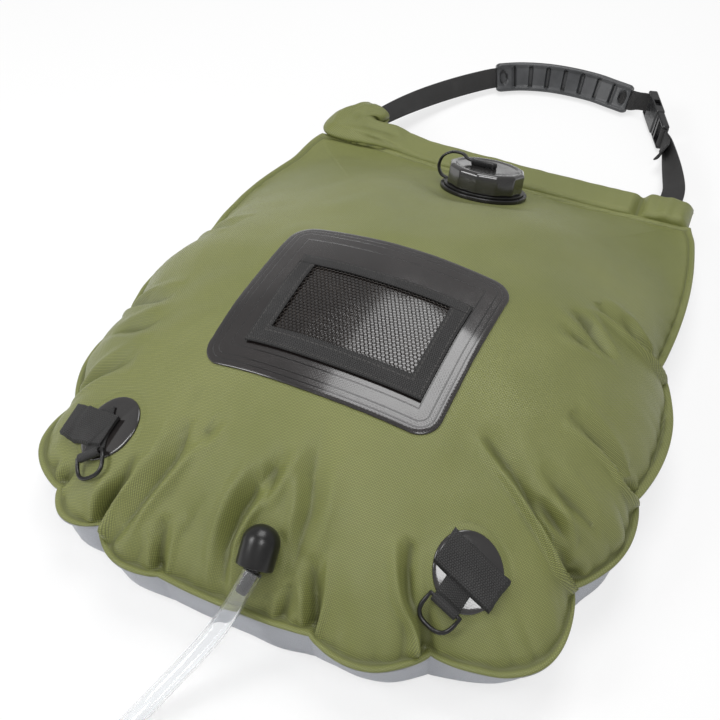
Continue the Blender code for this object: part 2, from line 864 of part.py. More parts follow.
def make_tether():
    """The ring under the cap with its strap, and the round-ended button that holds the cap."""
    ring_bore = neck_radius + neck_thread_radius + fit_gap
    ring_outer = ring_bore + tether_ring_width
    high = tether_low + tether_thickness
    tether = turned("cap_tether", ((ring_outer, high), (ring_outer, tether_low),
                                   (ring_bore, tether_low), (ring_bore, high)), 36, filler_frame, rubber)
    mid = tether_low + tether_strap_thickness / 2
    out = cap_radius + tether_reach
    up = cap_high + tether_rise
    lay = cap_high + fit_gap + button_height / 2
    join = button_length - button_overhang
    stations = ((-(ring_outer - tether_thickness), mid), (-(out - tether_reach / 3), mid + tether_reach / 4),
                (-out, (cap_low + cap_high) / 2), (-(out - tether_reach / 5), cap_high),
                (-cap_radius, up - tether_rise / 5), (-(cap_radius - tether_reach), up - tether_rise / 8),
                (-(join + tether_reach / 2), lay + tether_rise / 8), (-(join + fit_gap), lay))
    across = Vector((0.0, 1.0, 0.0))
    route = [(Vector((x, 0.0, z)), across) for x, z in curve_through(
        [(x, z) for x, z in stations], tether_strap_width)]
    arch = strap("tether_strap", route, tether_strap_width, tether_strap_thickness, guide=True,
                 frame=filler_frame)
    boolean(tether, arch, "UNION")
    shade(tether)

    half = button_width / 2
    outline = [(-join, -half), (-join, half)]
    for k in range(9):
        angle = math.pi / 2 - math.pi * k / 8
        outline.append((button_overhang - half + half * math.cos(angle), half * math.sin(angle)))
    outline.reverse()
    lift = Matrix.Translation((0.0, 0.0, cap_high + fit_gap + button_height / 2))
    button = plate("tether_button", outline, button_height, filler_frame @ lift, rubber)
    pin = cylinder("button_pin", button_pin_radius, cap_high + fit_gap - button_pin_length,
                   cap_high + fit_gap + button_height / 2, 16, filler_frame, guide=True)
    boolean(button, pin, "UNION")
    shade(button)


# Pocket

def make_pocket():
    patch = upright_prism("pocket_patch", turned_outline(
        rounded_rectangle(patch_width, patch_length, patch_corner), patch_x, patch_y, patch_turn), vinyl)
    lay_on_bag(patch, patch_low, patch_high)
    net = upright_prism("pocket_mesh", turned_outline(
        rounded_rectangle(pocket_width, pocket_length, pocket_corner, 3), pocket_x, pocket_y, patch_turn), netting)
    lay_on_bag(net, pocket_low, pocket_high)
    half_x = pocket_width / 2
    half_y = pocket_length / 2
    inner_x = half_x - side_binding_width
    inner_y = half_y - bottom_binding_width
    top = half_y - top_hem_width - fit_gap
    u_shape = ((-half_x, top), (-half_x, -half_y), (half_x, -half_y), (half_x, top),
               (inner_x, top), (inner_x, -inner_y), (-inner_x, -inner_y), (-inner_x, top))
    binding = upright_prism("pocket_binding", turned_outline(u_shape, pocket_x, pocket_y, patch_turn), webbing)
    lay_on_bag(binding, binding_low, binding_high)
    hem = ((-half_x, half_y), (-half_x, half_y - top_hem_width), (half_x, half_y - top_hem_width), (half_x, half_y))
    top_hem = upright_prism("pocket_hem", turned_outline(hem, pocket_x, pocket_y, patch_turn), webbing)
    lay_on_bag(top_hem, binding_low, binding_high)


# D-ring fittings

def ring_place(side):
    place = ring_sides[side]
    x = place["side"] * (bag_half_width - place["side_inset"])
    return x, place["end_inset"] - bag_half_length


def ring_frame(side):
    """Origin on the D-ring's bar, X down the panel along the tab, Z off the panel."""
    x, y = ring_place(side)
    turn = math.radians(ring_sides[side]["turn"])
    down = Vector((math.sin(turn), -math.cos(turn), 0.0))
    bar_plan = Vector((x, y, 0.0)) + down * ring_distance
    foot = surface_point(bar_plan.x, bar_plan.y)
    normal = surface_normal(bar_plan.x, bar_plan.y, disc_radius / 4)
    along = down - normal * down.dot(normal)
    height = fit_gap + loop_lift + tab_thickness + loop_bore_radius
    frame = frame_from(foot + normal * height, along, normal)
    return frame


def resting_wire(outline, frame):
    """The D-ring's wire, drooping from its bar until it is a set gap off the panel."""
    wire = []
    for degrees in range(ring_droop_limit + 1):
        droop = math.radians(degrees)
        placed = [(u * math.cos(droop), v, -u * math.sin(droop)) for u, v in outline]
        least = min(surface_tree.find_nearest(frame @ Vector(place))[3] for place in placed)
        if wire and least < ring_wire_radius + ring_rest_gap:
            break
        wire = placed
    return wire


def make_ring_fitting(side):
    place = ring_sides[side]
    x, y = ring_place(side)
    turn = place["turn"]
    disc = upright_prism("ring_disc_" + side, turned_outline(
        circle_outline(disc_radius, 32), x + place["disc_shift"], y, 0.0), vinyl)
    lay_on_bag(disc, patch_low, disc_high)

    frame = ring_frame(side)
    half = tab_width / 2
    reach = ring_distance + loop_bore_radius
    tab_outline = ((-half, tab_start), (-half, -reach), (half, -reach), (half, tab_start))
    tab = upright_prism("ring_tab_" + side, turned_outline(tab_outline, x, y, turn), webbing)
    lay_on_bag(tab, tab_low, tab_high)
    tab_trim = box("tab_trim_" + side, (0.0, -strap_width, -overrun), (2 * overrun, strap_width, overrun),
                   frame, guide=True)
    boolean(tab, tab_trim, "DIFFERENCE")
    loop_frame = frame @ Matrix.Rotation(math.pi / 2, 4, "X")
    loop = ring_band("tab_loop_" + side, loop_bore_radius, tab_thickness, tab_width, loop_frame, guide=True)
    boolean(tab, loop, "UNION")

    half_length = band_length / 2
    half_band = band_width / 2
    band_outline = ((-half_length, half_band), (-half_length, -half_band), (half_length, -half_band),
                    (half_length, half_band))
    band = upright_prism("ring_band_" + side, turned_outline(
        band_outline, x + place["band_shift"], y + band_offset, place["band_turn"]), webbing)
    lay_on_bag(band, band_low, band_high)

    outline = [(0.0, -ring_half_width), (0.0, ring_half_width)]
    steps = 12
    for k in range(steps + 1):
        angle = math.pi / 2 - math.pi * k / steps
        along = math.cos(angle) ** ring_squareness
        across = math.copysign(abs(math.sin(angle)) ** ring_squareness, angle)
        outline.append((ring_straight + (ring_depth - ring_straight) * along, ring_half_width * across))
    ring = tube("d_ring_" + side, resting_wire(outline, frame), ring_wire_radius, 2, frame, plastic, cyclic=True)
    shade(ring, 60.0)


# Outlet, hose and shower head

def outlet_stub_frame():
    """Origin on the panel under the elbow, Z along the inlet stub, out of the bag."""
    middle = hose_start - hood_heading() * hood_length
    foot = surface_point(middle.x, middle.y)
    normal = surface_normal(middle.x, middle.y, hood_radius)
    return frame_from(foot, hose_heading.cross(normal), normal)


def hood_heading():
    """The hood's own axis, turned a little from the hose about the panel's normal."""
    normal = surface_normal(hose_start.x, hose_start.y, hood_radius)
    return Matrix.Rotation(math.radians(hood_turn), 3, normal) @ hose_heading


def make_outlet():
    forward = outlet_frame @ Matrix.Rotation(math.pi / 2, 4, "Y")
    hood_frame = frame_from(hose_start, hood_heading(), (0.0, 0.0, 1.0)) @ Matrix.Rotation(math.pi / 2, 4, "Y")
    hood_face = -fit_gap - hose_radius * math.tan(math.radians(hood_turn))
    hood = cylinder("outlet_elbow", hood_radius, -hood_length, hood_face, 28, hood_frame, rubber)
    bm = bmesh.new()
    bmesh.ops.create_uvsphere(bm, u_segments=28, v_segments=14, radius=hood_radius)
    dome = add_object("hood_dome", mesh_from("hood_dome", bm),
                      hood_frame @ Matrix.Translation((0.0, 0.0, -hood_length)), guide=True)
    boolean(hood, dome, "UNION")
    boolean(hood, crown_block(fit_gap), "DIFFERENCE")
    stub_frame = outlet_stub_frame()
    stub = cylinder("outlet_stub", outlet_stub_radius, -outlet_stub_length / 2, outlet_stub_length / 2, 24,
                    stub_frame, guide=True)
    boolean(hood, stub, "UNION")
    inlet = cylinder("outlet_inlet_bore", outlet_bore_radius, -outlet_stub_length,
                     outlet_stub_length / 2, 16, stub_frame, guide=True)
    boolean(hood, inlet, "DIFFERENCE")
    mouth = cylinder("outlet_mouth", barb_radius + fit_gap, -hood_length, overrun, 24, forward, guide=True)
    boolean(hood, mouth, "DIFFERENCE")
    shade(hood)

    tip = barb_reach
    ridge = barb_reach / 4
    profile = ((barb_core_radius, tip), (barb_radius, tip - ridge), (barb_core_radius, tip - ridge),
               (barb_radius, tip - 2 * ridge), (barb_core_radius, tip - 2 * ridge),
               (barb_radius, tip - 3 * ridge), (barb_radius, -barb_root),
               (barb_bore_radius, -barb_root), (barb_bore_radius, tip))
    barb = turned("outlet_barb", profile, 24, forward, plastic)
    shade(barb)


def coil_path():
    """The coil: a straight lead-in, turns winding inwards on the ground and a climb at the end."""
    x, y = coil_centre
    points = [(x - coil_outer_radius, y + coil_straight, coil_rest_height)]
    count = round(coil_turns * coil_points_per_turn)
    for k in range(count + 1):
        turn = k / coil_points_per_turn
        angle = math.pi + 2 * math.pi * turn
        radius = coil_outer_radius - coil_pitch * turn
        climb = smoothstep((turn - coil_turns + coil_climb_turns) / coil_climb_turns)
        height = coil_rest_height + (head_axis_height - coil_rest_height) * climb
        points.append((x + radius * math.cos(angle), y + radius * math.sin(angle), height))
    end = points[-1]
    points.append((end[0] + coil_straight, end[1], head_axis_height))
    return points


def least_gap(points, radius):
    """The least clear gap between stretches of a tube that aren't neighbours along it."""
    places = np.array(points)
    lengths = np.concatenate(([0.0], np.cumsum(np.linalg.norm(np.diff(places, axis=0), axis=1))))
    dense_at = np.linspace(0.0, lengths[-1], 600)
    dense = np.column_stack([np.interp(dense_at, lengths, places[:, k]) for k in range(3)])
    apart = np.abs(dense_at[:, None] - dense_at[None, :]) > 6 * radius
    distance = np.linalg.norm(dense[:, None] - dense[None, :], axis=2)
    return distance[apart].min() - 2 * radius


def make_hose():
    points = curve_through(hose_route[:-1] + ((coil_centre[0] - coil_outer_radius,
                                               coil_centre[1] + coil_straight + fit_gap,
                                               coil_rest_height),), hose_step)
    hose = tube("hose", [tuple(p) for p in points], hose_radius, 2, material=clear_hose)
    forward = outlet_frame @ Matrix.Rotation(math.pi / 2, 4, "Y")
    bore = cylinder("hose_bore", hose_bore_radius, -overrun, hose_bore_depth, 16, forward, guide=True)
    boolean(hose, bore, "DIFFERENCE")
    shade(hose, 60.0)
    path = coil_path()
    coil = tube("hose_coil", path, hose_radius, 2, material=clear_hose)
    shade(coil, 60.0)
    free = sum((Vector(b) - Vector(a)).length for a, b in zip(points, points[1:]))
    wound = sum((Vector(b) - Vector(a)).length for a, b in zip(path, path[1:]))
    print("hose free %.4f m, coil %.4f m, coil's least gap to itself %.5f m"
          % (free, wound, least_gap(path, hose_radius)))


def make_shower_head():
    """Nut, valve stem and sliding rose in line at the coil's end, along +X."""
    end = coil_path()[-1]
    head_frame = frame_from((end[0] + fit_gap, end[1], end[2]), (0.0, 0.0, -1.0), (1.0, 0.0, 0.0))
    nut = turned("hose_nut", ((nut_radius, nut_length), (nut_radius, 0.0), (head_bore_radius, 0.0),
                              (head_bore_radius, nut_length)), 32, head_frame, plastic)
    shade(nut)
    stem_start = nut_length + fit_gap
    shoulder = stem_start + stem_length
    spigot_end = shoulder + spigot_length
    stem = turned("valve_stem", (
        (spigot_radius, spigot_end), (spigot_radius, shoulder), (stem_radius, shoulder),
        (stem_radius, stem_start + stem_length / 4), (stem_neck_radius, stem_start),
        (head_bore_radius, stem_start), (head_bore_radius, spigot_end)), 32, head_frame, plastic)
    shade(stem)

    sleeve_bore = spigot_radius + fit_gap
    low = shoulder + fit_gap
    cone = low + rose_collar_length
    rim = cone + rose_cone_length
    high = rim + rose_rim_length
    chamber_radius = rose_radius - rose_wall
    ledge = high - rose_face_recess - rose_face_thickness - fit_gap
    rose = turned("rose_body", (
        (rose_radius, high), (rose_radius, rim), (rose_collar_radius, cone), (rose_collar_radius, low),
        (sleeve_bore, low), (sleeve_bore, cone + rose_wall), (chamber_radius - rose_wall, rim),
        (chamber_radius - rose_wall, ledge), (chamber_radius, ledge), (chamber_radius, high)),
        36, head_frame, plastic)
    shade(rose)
    face_radius = chamber_radius - fit_gap
    face_low = ledge + fit_gap
    face = cylinder("rose_face", face_radius, face_low, face_low + rose_face_thickness, 36, head_frame, plastic)
    for ring_radius, count in rose_hole_rings:
        for k in range(count):
            angle = 2 * math.pi * k / count
            place = head_frame @ Matrix.Translation((ring_radius * math.cos(angle),
                                                     ring_radius * math.sin(angle), 0.0))
            hole = cylinder("rose_hole_%d_%d" % (count, k), rose_hole_radius, face_low - overrun / 4,
                            high + overrun / 4, 8, place, guide=True)
            boolean(face, hole, "DIFFERENCE")
    shade(face)


# Handle loop

def loop_stations(shares):
    """Real places and leans of the handle's route, from shares of the loop."""
    drop = strap_line_z() - loop_rest_height
    return [(x * loop_half_width, strap_line_y() + y * loop_reach, strap_line_z() - z * drop, lean)
            for x, y, z, lean in shares]


def leaning_route(stations, step, end_axis=None):
    """Centre points and width directions of webbing that leans outwards from upright, and
    that twists near its last point to lie along a bar's axis where one is given."""
    rows = curve_through(stations, step)
    last = Vector(rows[-1][:3])
    route = []
    for k, row in enumerate(rows):
        before = rows[max(k - 1, 0)]
        after = rows[min(k + 1, len(rows) - 1)]
        heading = Vector((after - before)[:3]).normalized()
        outward = Vector((-heading.y, heading.x, 0.0)).normalized()
        lean = math.radians(row[3])
        across = Vector((0.0, 0.0, math.cos(lean))) + outward * math.sin(lean)
        across = (across - heading * across.dot(heading)).normalized()
        if end_axis:
            distance = (Vector(row[:3]) - last).length
            share = smoothstep((distance - bar_lead) / twist_length)
            across = end_axis.lerp(across, share).normalized()
        route.append((Vector(row[:3]), across))
    return route


def bar_stations(bar, axis, neighbour, lean):
    """The last two stations of webbing that meets a bar square to its axis."""
    approach = Vector(neighbour[:3]) - bar
    approach = (approach - axis * approach.dot(axis)).normalized()
    end = bar + approach * (bar_radius + fit_gap + strap_thickness / 2)
    near = bar + approach * bar_lead
    return (near.x, near.y, near.z, lean), (end.x, end.y, end.z, lean)


def buckle_frame():
    """Origin on the socket's bar, X along the buckle, Z across its width."""
    heading = math.radians(buckle_heading)
    x_axis = Vector((math.cos(heading), math.sin(heading), 0.0))
    outward = Vector((-x_axis.y, x_axis.x, 0.0))
    lean = math.radians(buckle_lean)
    z_axis = Vector((0.0, 0.0, math.cos(lean))) + outward * math.sin(lean)
    origin = (buckle_x_share * loop_half_width, strap_line_y() + buckle_y_share * loop_reach, loop_rest_height)
    return frame_from(origin, x_axis, z_axis)


def make_handle():
    frame = buckle_frame()
    stations = loop_stations(left_route_shares[:-1] + grip_route_shares)
    axis = frame.col[2].to_3d()
    stations.extend(bar_stations(frame.translation, axis, stations[-1], buckle_lean))
    webbing_loop = strap("handle_webbing", leaning_route(stations, handle_step, axis), strap_width,
                         strap_thickness, webbing)
    ring = ring_band("handle_loop", bar_radius + fit_gap, strap_thickness, strap_width, frame, guide=True)
    boolean(webbing_loop, ring, "UNION")
    shade(webbing_loop)

    grip_route = leaning_route(loop_stations(grip_route_shares), handle_step)
    grip = strap("grip", grip_route, grip_width, grip_thickness, plastic)
    channel_route = leaning_route(stations, handle_step, axis)
    channel = strap("grip_channel", channel_route, strap_width + 2 * grip_channel_gap,
                    strap_thickness + 2 * grip_channel_gap, guide=True)
    boolean(grip, channel, "DIFFERENCE")
    slot_height = grip_width - 2 * grip_rim_width
    count = len(grip_route)
    for k in range(grip_slot_count):
        place = (k + 1) / (grip_slot_count + 1) * (count - 1)
        low = int(place)
        share = place - low
        centre = grip_route[low][0].lerp(grip_route[low + 1][0], share)
        across = grip_route[low][1]
        heading = (grip_route[low + 1][0] - grip_route[low][0]).normalized()
        slot_frame = frame_from(centre, heading, across)
        inward = slot_frame.col[1].to_3d()
        sign = 1 if inward.y < 0 else -1
        near, far = sorted((sign * (grip_thickness / 2 - grip_slot_depth), sign * (grip_thickness / 2 + overrun)))
        slot = box("grip_slot_%d" % k, (-grip_slot_length / 2, near, -slot_height / 2),
                   (grip_slot_length / 2, far, slot_height / 2), slot_frame, guide=True)
        boolean(grip, slot, "DIFFERENCE")
    shade(grip)


def make_buckle():
    frame = buckle_frame()
    half_width = buckle_width / 2
    half_thick = buckle_thickness / 2
    socket = box("buckle_socket", (-2 * bar_radius, -half_thick, -half_width),
                 (socket_length, half_thick, half_width), frame, plastic)
    edge = socket.modifiers.new("edge", "BEVEL")
    edge.width = buckle_edge
    edge.segments = 2
    rail = half_width - rail_width
    slot = box("socket_slot", (-overrun, -half_thick - overrun, -rail),
               (socket_slot_end, half_thick + overrun, rail), frame, guide=True)
    boolean(socket, slot, "DIFFERENCE")
    bar_reach = rail + rail_width / 2
    bar = cylinder("socket_bar", bar_radius, -bar_reach, bar_reach, 20, frame, guide=True)
    boolean(socket, bar, "UNION")
    cavity = box("socket_cavity", (socket_floor, -socket_cavity_height / 2, -socket_cavity_half_width),
                 (socket_length + overrun, socket_cavity_height / 2, socket_cavity_half_width), frame, guide=True)
    boolean(socket, cavity, "DIFFERENCE")
    window = box("socket_window", (window_start, -socket_cavity_height / 2, -half_width - overrun),
                 (window_end, socket_cavity_height / 2, half_width + overrun), frame, guide=True)
    boolean(socket, window, "DIFFERENCE")
    shade(socket)

    start = socket_length + fit_gap
    end = start + tongue_length
    half_tongue = tongue_thickness / 2
    tongue = box("buckle_tongue", (start, -half_tongue, -half_width), (end, half_tongue, half_width), frame, plastic)
    tongue_round = tongue.modifiers.new("edge", "BEVEL")
    tongue_round.width = buckle_edge
    tongue_round.segments = 2
    last_bar = end - bar_radius - fit_gap
    near_slot = box("tongue_slot_a", (start + ladder_bar_width + bar_radius, -half_tongue - overrun, -rail),
                    (start + 2 * ladder_bar_width + bar_radius, half_tongue + overrun, rail), frame, guide=True)
    boolean(tongue, near_slot, "DIFFERENCE")
    far_slot = box("tongue_slot_b", (start + 3 * ladder_bar_width + bar_radius, -half_tongue - overrun, -rail),
                   (end + overrun, half_tongue + overrun, rail), frame, guide=True)
    boolean(tongue, far_slot, "DIFFERENCE")
    last_place = frame @ Matrix.Translation((last_bar, 0.0, 0.0))
    end_bar = cylinder("tongue_bar", bar_radius, -bar_reach, bar_reach, 20, last_place, guide=True)
    boolean(tongue, end_bar, "UNION")
    guide_bar = box("tongue_guide", (guide_tip, -tongue_part_height / 2, -guide_half_width),
                    (start + ladder_bar_width / 2, tongue_part_height / 2, guide_half_width), frame, guide=True)
    boolean(tongue, guide_bar, "UNION")
    shade(tongue)

    prong_end = socket_length
    for name, side in (("prong_upper", 1), ("prong_lower", -1)):
        pivot = frame @ Matrix.Translation((prong_end, 0.0, side * (prong_root_inner + prong_root_outer) / 2))
        face = pivot @ Matrix.Rotation(math.pi / 2, 4, "X")
        middle = (prong_root_inner + prong_root_outer) / 2
        shape = ((0.0, prong_root_inner), (0.0, prong_root_outer),
                 (window_end - prong_end - fit_gap * 3, prong_root_outer + fit_gap),
                 (window_end - prong_end - fit_gap * 5, prong_barb),
                 (window_start - prong_end + fit_gap * 8, prong_barb),
                 (prong_tip - prong_end, prong_root_outer - fit_gap * 2), (prong_tip - prong_end, prong_root_inner))
        outline = [(x, -side * (z - middle)) for x, z in shape]
        if side > 0:
            outline.reverse()
        plate(name, outline, tongue_part_height, face, plastic)


def make_short_webbing():
    """The right-hand webbing from the sleeve to the tongue's bar, and its folded tail."""
    frame = buckle_frame()
    last_bar = socket_length + tongue_length - bar_radius
    bar = frame @ Vector((last_bar, 0.0, 0.0))
    stations = loop_stations(right_route_shares)
    near, start = bar_stations(bar, frame.col[2].to_3d(), stations[0], buckle_lean)
    stations = [start, near] + stations
    route = leaning_route(stations, handle_step)
    short = strap("short_webbing", route, strap_width, strap_thickness, webbing)
    loop_frame = Matrix.Translation(bar - frame.translation) @ frame
    ring = ring_band("short_loop", bar_radius + fit_gap, strap_thickness, strap_width, loop_frame, guide=True)
    boolean(short, ring, "UNION")
    shade(short)

    tail = []
    count = 6
    for k in range(count + 1):
        along = k / count
        place = along * tail_length / handle_step
        low = int(place)
        base = route[low + 1][0].lerp(route[low + 2][0], place - low)
        across = route[low + 1][1].lerp(route[low + 2][1], place - low).normalized()
        heading = (route[low + 2][0] - route[low + 1][0]).normalized()
        inward = across.cross(heading).normalized()
        if inward.x > 0:
            inward = -inward
        away = strap_thickness + 3 * fit_gap + tail_length / 2 * max(0.0, along - 0.25) ** 1.5
        tail.append((base + inward * away, across))
    made = strap("webbing_tail", tail, strap_width, strap_thickness, webbing)
    shade(made)


make_panels()
make_sleeve()
make_filler()
make_cap()
make_tether()
make_pocket()
for ring_side in ring_sides:
    make_ring_fitting(ring_side)
make_outlet()
make_hose()
make_shower_head()
make_handle()
make_buckle()
make_short_webbing()
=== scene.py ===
# %% [markdown]
# # Dressing a camp shower bag
# The model comes in as plain solids that are already the right size and in the right place. In
# this lesson each gets its real look: the water bag, its webbing and its clear hose are rebuilt
# as cloth, straps and tube, and the moulded pieces get their edges, threads and finishes.
# Everything is in metres, with Z up.

# %% Load the frame
import math

import bmesh
import bpy
import numpy as np
from mathutils import Matrix, Vector, noise
from mathutils.bvhtree import BVHTree


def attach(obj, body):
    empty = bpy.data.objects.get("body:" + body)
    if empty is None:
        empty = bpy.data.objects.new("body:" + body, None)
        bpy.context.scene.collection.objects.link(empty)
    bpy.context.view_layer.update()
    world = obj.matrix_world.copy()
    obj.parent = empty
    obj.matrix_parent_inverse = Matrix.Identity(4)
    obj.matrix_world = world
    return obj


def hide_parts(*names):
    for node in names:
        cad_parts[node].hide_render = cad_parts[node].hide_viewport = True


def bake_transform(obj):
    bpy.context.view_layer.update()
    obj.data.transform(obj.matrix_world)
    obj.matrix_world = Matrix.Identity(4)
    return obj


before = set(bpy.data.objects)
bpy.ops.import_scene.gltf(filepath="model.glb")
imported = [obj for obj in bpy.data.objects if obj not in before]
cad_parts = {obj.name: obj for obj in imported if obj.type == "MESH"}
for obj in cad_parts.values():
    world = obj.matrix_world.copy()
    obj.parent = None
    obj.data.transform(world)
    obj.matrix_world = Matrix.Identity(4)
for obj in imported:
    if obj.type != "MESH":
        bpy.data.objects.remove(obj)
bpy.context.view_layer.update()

# %% [markdown]
# The camera comes first. Its place and lens were solved from points of the photograph. A look
# direction given as an azimuth and an elevation is easier to read than three turns, so the
# camera's axes are built from it.

# %% Camera
camera_place = Vector((0.1978, -0.5802, 0.6209))
camera_azimuth = math.radians(22.2)
camera_elevation = math.radians(44.5)
camera_lens = 55.4
camera_near = 0.01


def frame_from(origin, x_axis, z_axis):
    """A right-handed frame at a point, from its X axis and its rough Z axis."""
    x = Vector(x_axis).normalized()
    y = Vector(z_axis).cross(x).normalized()
    return Matrix.Translation(origin) @ Matrix((x, y, x.cross(y))).transposed().to_4x4()


def add_object(name, data):
    made = bpy.data.objects.new(name, data)
    bpy.context.collection.objects.link(made)
    return made


def place_camera():
    back = Vector((math.sin(camera_azimuth) * math.cos(camera_elevation),
                   -math.cos(camera_azimuth) * math.cos(camera_elevation), math.sin(camera_elevation)))
    right = Vector((math.cos(camera_azimuth), math.sin(camera_azimuth), 0.0))
    data = bpy.data.cameras.new("photo_camera")
    data.lens = camera_lens
    data.clip_start = camera_near
    made = add_object("photo_camera", data)
    made.matrix_world = frame_from(camera_place, right, back)
    bpy.context.scene.camera = made
    return made


camera = place_camera()
print("camera at", [round(v, 3) for v in camera.location])

# %% [markdown]
# Two helpers carry most of the work. One turns a bmesh into a finished piece that rides on a
# body of the model and stands for the solids it replaces. The other draws a smooth line through
# a few points.

# %% Helpers for pieces and lines
def make_piece(name, bm, material, body, slot, *stands_for, smooth=True, sharp_angle=None):
    """Turns a bmesh into a piece of the object; one with no body is left loose."""
    mesh = bpy.data.meshes.new(name)
    bm.to_mesh(mesh)
    bm.free()
    made = add_object(name, mesh)
    mesh.materials.append(material)
    if smooth:
        mesh.shade_smooth()
    if sharp_angle:
        mesh.set_sharp_from_angle(angle=math.radians(sharp_angle))
    if body:
        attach(made, body)
    if stands_for:
        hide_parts(*stands_for)
    return made


def tell(*pieces):
    """Prints how many faces each finished piece has."""
    print([(piece.name, len(piece.data.polygons)) for piece in pieces])


def curve_through(stations, step, samples=40):
    """Points at an even step along a smooth curve through the stations; extra columns follow."""
    rows = [np.array(row, dtype=float) for row in stations]
    rows = [2 * rows[0] - rows[1]] + rows + [2 * rows[-1] - rows[-2]]
    dense = []
    for k in range(1, len(rows) - 2):
        a, b, c, d = rows[k - 1:k + 3]
        for t in np.linspace(0.0, 1.0, samples, endpoint=False):
            dense.append(0.5 * (2 * b + (c - a) * t + (2 * a - 5 * b + 4 * c - d) * t ** 2
                                + (3 * b - a - 3 * c + d) * t ** 3))
    dense.append(rows[-2])
    dense = np.array(dense)
    run = np.concatenate(([0.0], np.cumsum(np.linalg.norm(np.diff(dense[:, :3], axis=0), axis=1))))
    count = max(2, round(run[-1] / step) + 1)
    even = np.linspace(0.0, run[-1], count)
    return np.column_stack([np.interp(even, run, dense[:, k]) for k in range(dense.shape[1])])


def polar(radius, angle):
    return radius * math.cos(angle), radius * math.sin(angle)


def smoothstep(share):
    clipped = np.clip(share, 0.0, 1.0)
    return clipped * clipped * (3 - 2 * clipped)


print("helpers ready")

# %% [markdown]
# ## Finishes
# Several finishes share an effect: a weave, a slight wandering of the colour, ribs across a
# strap. Each effect is made once as a shader node group and is then placed in every material
# that needs it, with its own numbers.

# %% Node group helpers
def new_group(name, values, results):
    """A shader node group that takes a vector and some numbers, with its sockets inside."""
    group = bpy.data.node_groups.new(name, "ShaderNodeTree")
    group.interface.new_socket(name="Vector", in_out="INPUT", socket_type="NodeSocketVector")
    for label, value in values.items():
        made = group.interface.new_socket(name=label, in_out="INPUT", socket_type="NodeSocketFloat")
        made.default_value = value
    for label in results:
        group.interface.new_socket(name=label, in_out="OUTPUT", socket_type="NodeSocketFloat")
    start = group.nodes.new("NodeGroupInput")
    end = group.nodes.new("NodeGroupOutput")
    return group, start.outputs, end.inputs


def feed(tree, value, socket):
    """Links one socket to another, or types a plain number in."""
    if isinstance(value, (int, float)):
        socket.default_value = value
    else:
        tree.links.new(value, socket)


def math_node(tree, operation, first, second=None, clamp=False):
    """A Math node whose inputs are sockets or plain numbers; returns its output."""
    node = tree.nodes.new("ShaderNodeMath")
    node.operation = operation
    node.use_clamp = clamp
    feed(tree, first, node.inputs[0])
    if second is not None:
        feed(tree, second, node.inputs[1])
    return node.outputs[0]


def times(tree, first, second):
    return math_node(tree, "MULTIPLY", first, second)


def plus(tree, first, second):
    return math_node(tree, "ADD", first, second)


def split_vector(tree, vector):
    node = tree.nodes.new("ShaderNodeSeparateXYZ")
    feed(tree, vector, node.inputs[0])
    return node.outputs


def noise_node(tree, vector, scale, detail=3.0, roughness=0.5):
    node = tree.nodes.new("ShaderNodeTexNoise")
    node.inputs["Detail"].default_value = detail
    node.inputs["Roughness"].default_value = roughness
    feed(tree, scale, node.inputs["Scale"])
    feed(tree, vector, node.inputs["Vector"])
    return node.outputs["Fac"]


print("node helpers ready")

# %% [markdown]
# A coated oxford weave has warp and weft threads that take turns to lie on top. Two sine waves
# at right angles make the threads, and the sign of their product decides which is on top.
# Oxford cloth lays its weft in pairs, so every other row lies lower. The Shade output is
# painted shade: dark between the threads and a little darker on the lower rows.

# %% Weave group
def make_weave_group():
    group, start, end = new_group("oxford_weave", {"Pitch": 0.0011}, ("Height", "Shade"))
    x, y, _ = split_vector(group, start["Vector"])
    turn = math_node(group, "DIVIDE", math.pi, start["Pitch"])
    warp = math_node(group, "SINE", times(group, x, turn))
    weft = math_node(group, "SINE", times(group, y, turn))
    product = times(group, warp, weft)
    over = math_node(group, "GREATER_THAN", product, 0.0)
    warp_height = math_node(group, "ABSOLUTE", warp)
    weft_height = math_node(group, "ABSOLUTE", weft)
    picked = group.nodes.new("ShaderNodeMix")
    feed(group, over, picked.inputs["Factor"])
    feed(group, weft_height, picked.inputs["A"])
    feed(group, warp_height, picked.inputs["B"])
    feed(group, picked.outputs["Result"], end["Height"])
    row = plus(group, times(group, weft, 0.12), 0.88)
    lit = times(group, warp_height, weft_height)
    feed(group, times(group, lit, row), end["Shade"])
    return group


weave_group = make_weave_group()


# %% Variation group
def make_variation_group():
    """A slow wander for colour and roughness, with a finer grain on top."""
    group, start, end = new_group("slow_variation", {"Scale": 9.0}, ("Wander", "Grain"))
    wander = noise_node(group, start["Vector"], start["Scale"], 4.0, 0.55)
    fine = times(group, start["Scale"], 30.0)
    grain = noise_node(group, start["Vector"], fine, 2.0, 0.6)
    feed(group, wander, end["Wander"])
    feed(group, grain, end["Grain"])
    return group


variation_group = make_variation_group()


# %% Rib group
def make_rib_group():
    """Cross ribs and selvedge of webbing, from a UV map in metres: U along, V across."""
    group, start, end = new_group("webbing_ribs", {"Rib": 0.0016, "Yarn": 0.0011}, ("Height", "Shade"))
    u, v, _ = split_vector(group, start["Vector"])
    rib_turn = math_node(group, "DIVIDE", math.pi, start["Rib"])
    yarn_turn = math_node(group, "DIVIDE", math.pi, start["Yarn"])
    swing = math_node(group, "SINE", times(group, v, yarn_turn))
    slant = plus(group, times(group, u, rib_turn), times(group, swing, 0.9))
    rib = math_node(group, "ABSOLUTE", math_node(group, "SINE", slant))
    yarn = math_node(group, "ABSOLUTE", swing)
    height = plus(group, rib, times(group, yarn, 0.5))
    feed(group, height, end["Height"])
    feed(group, times(group, rib, yarn), end["Shade"])
    return group


rib_group = make_rib_group()


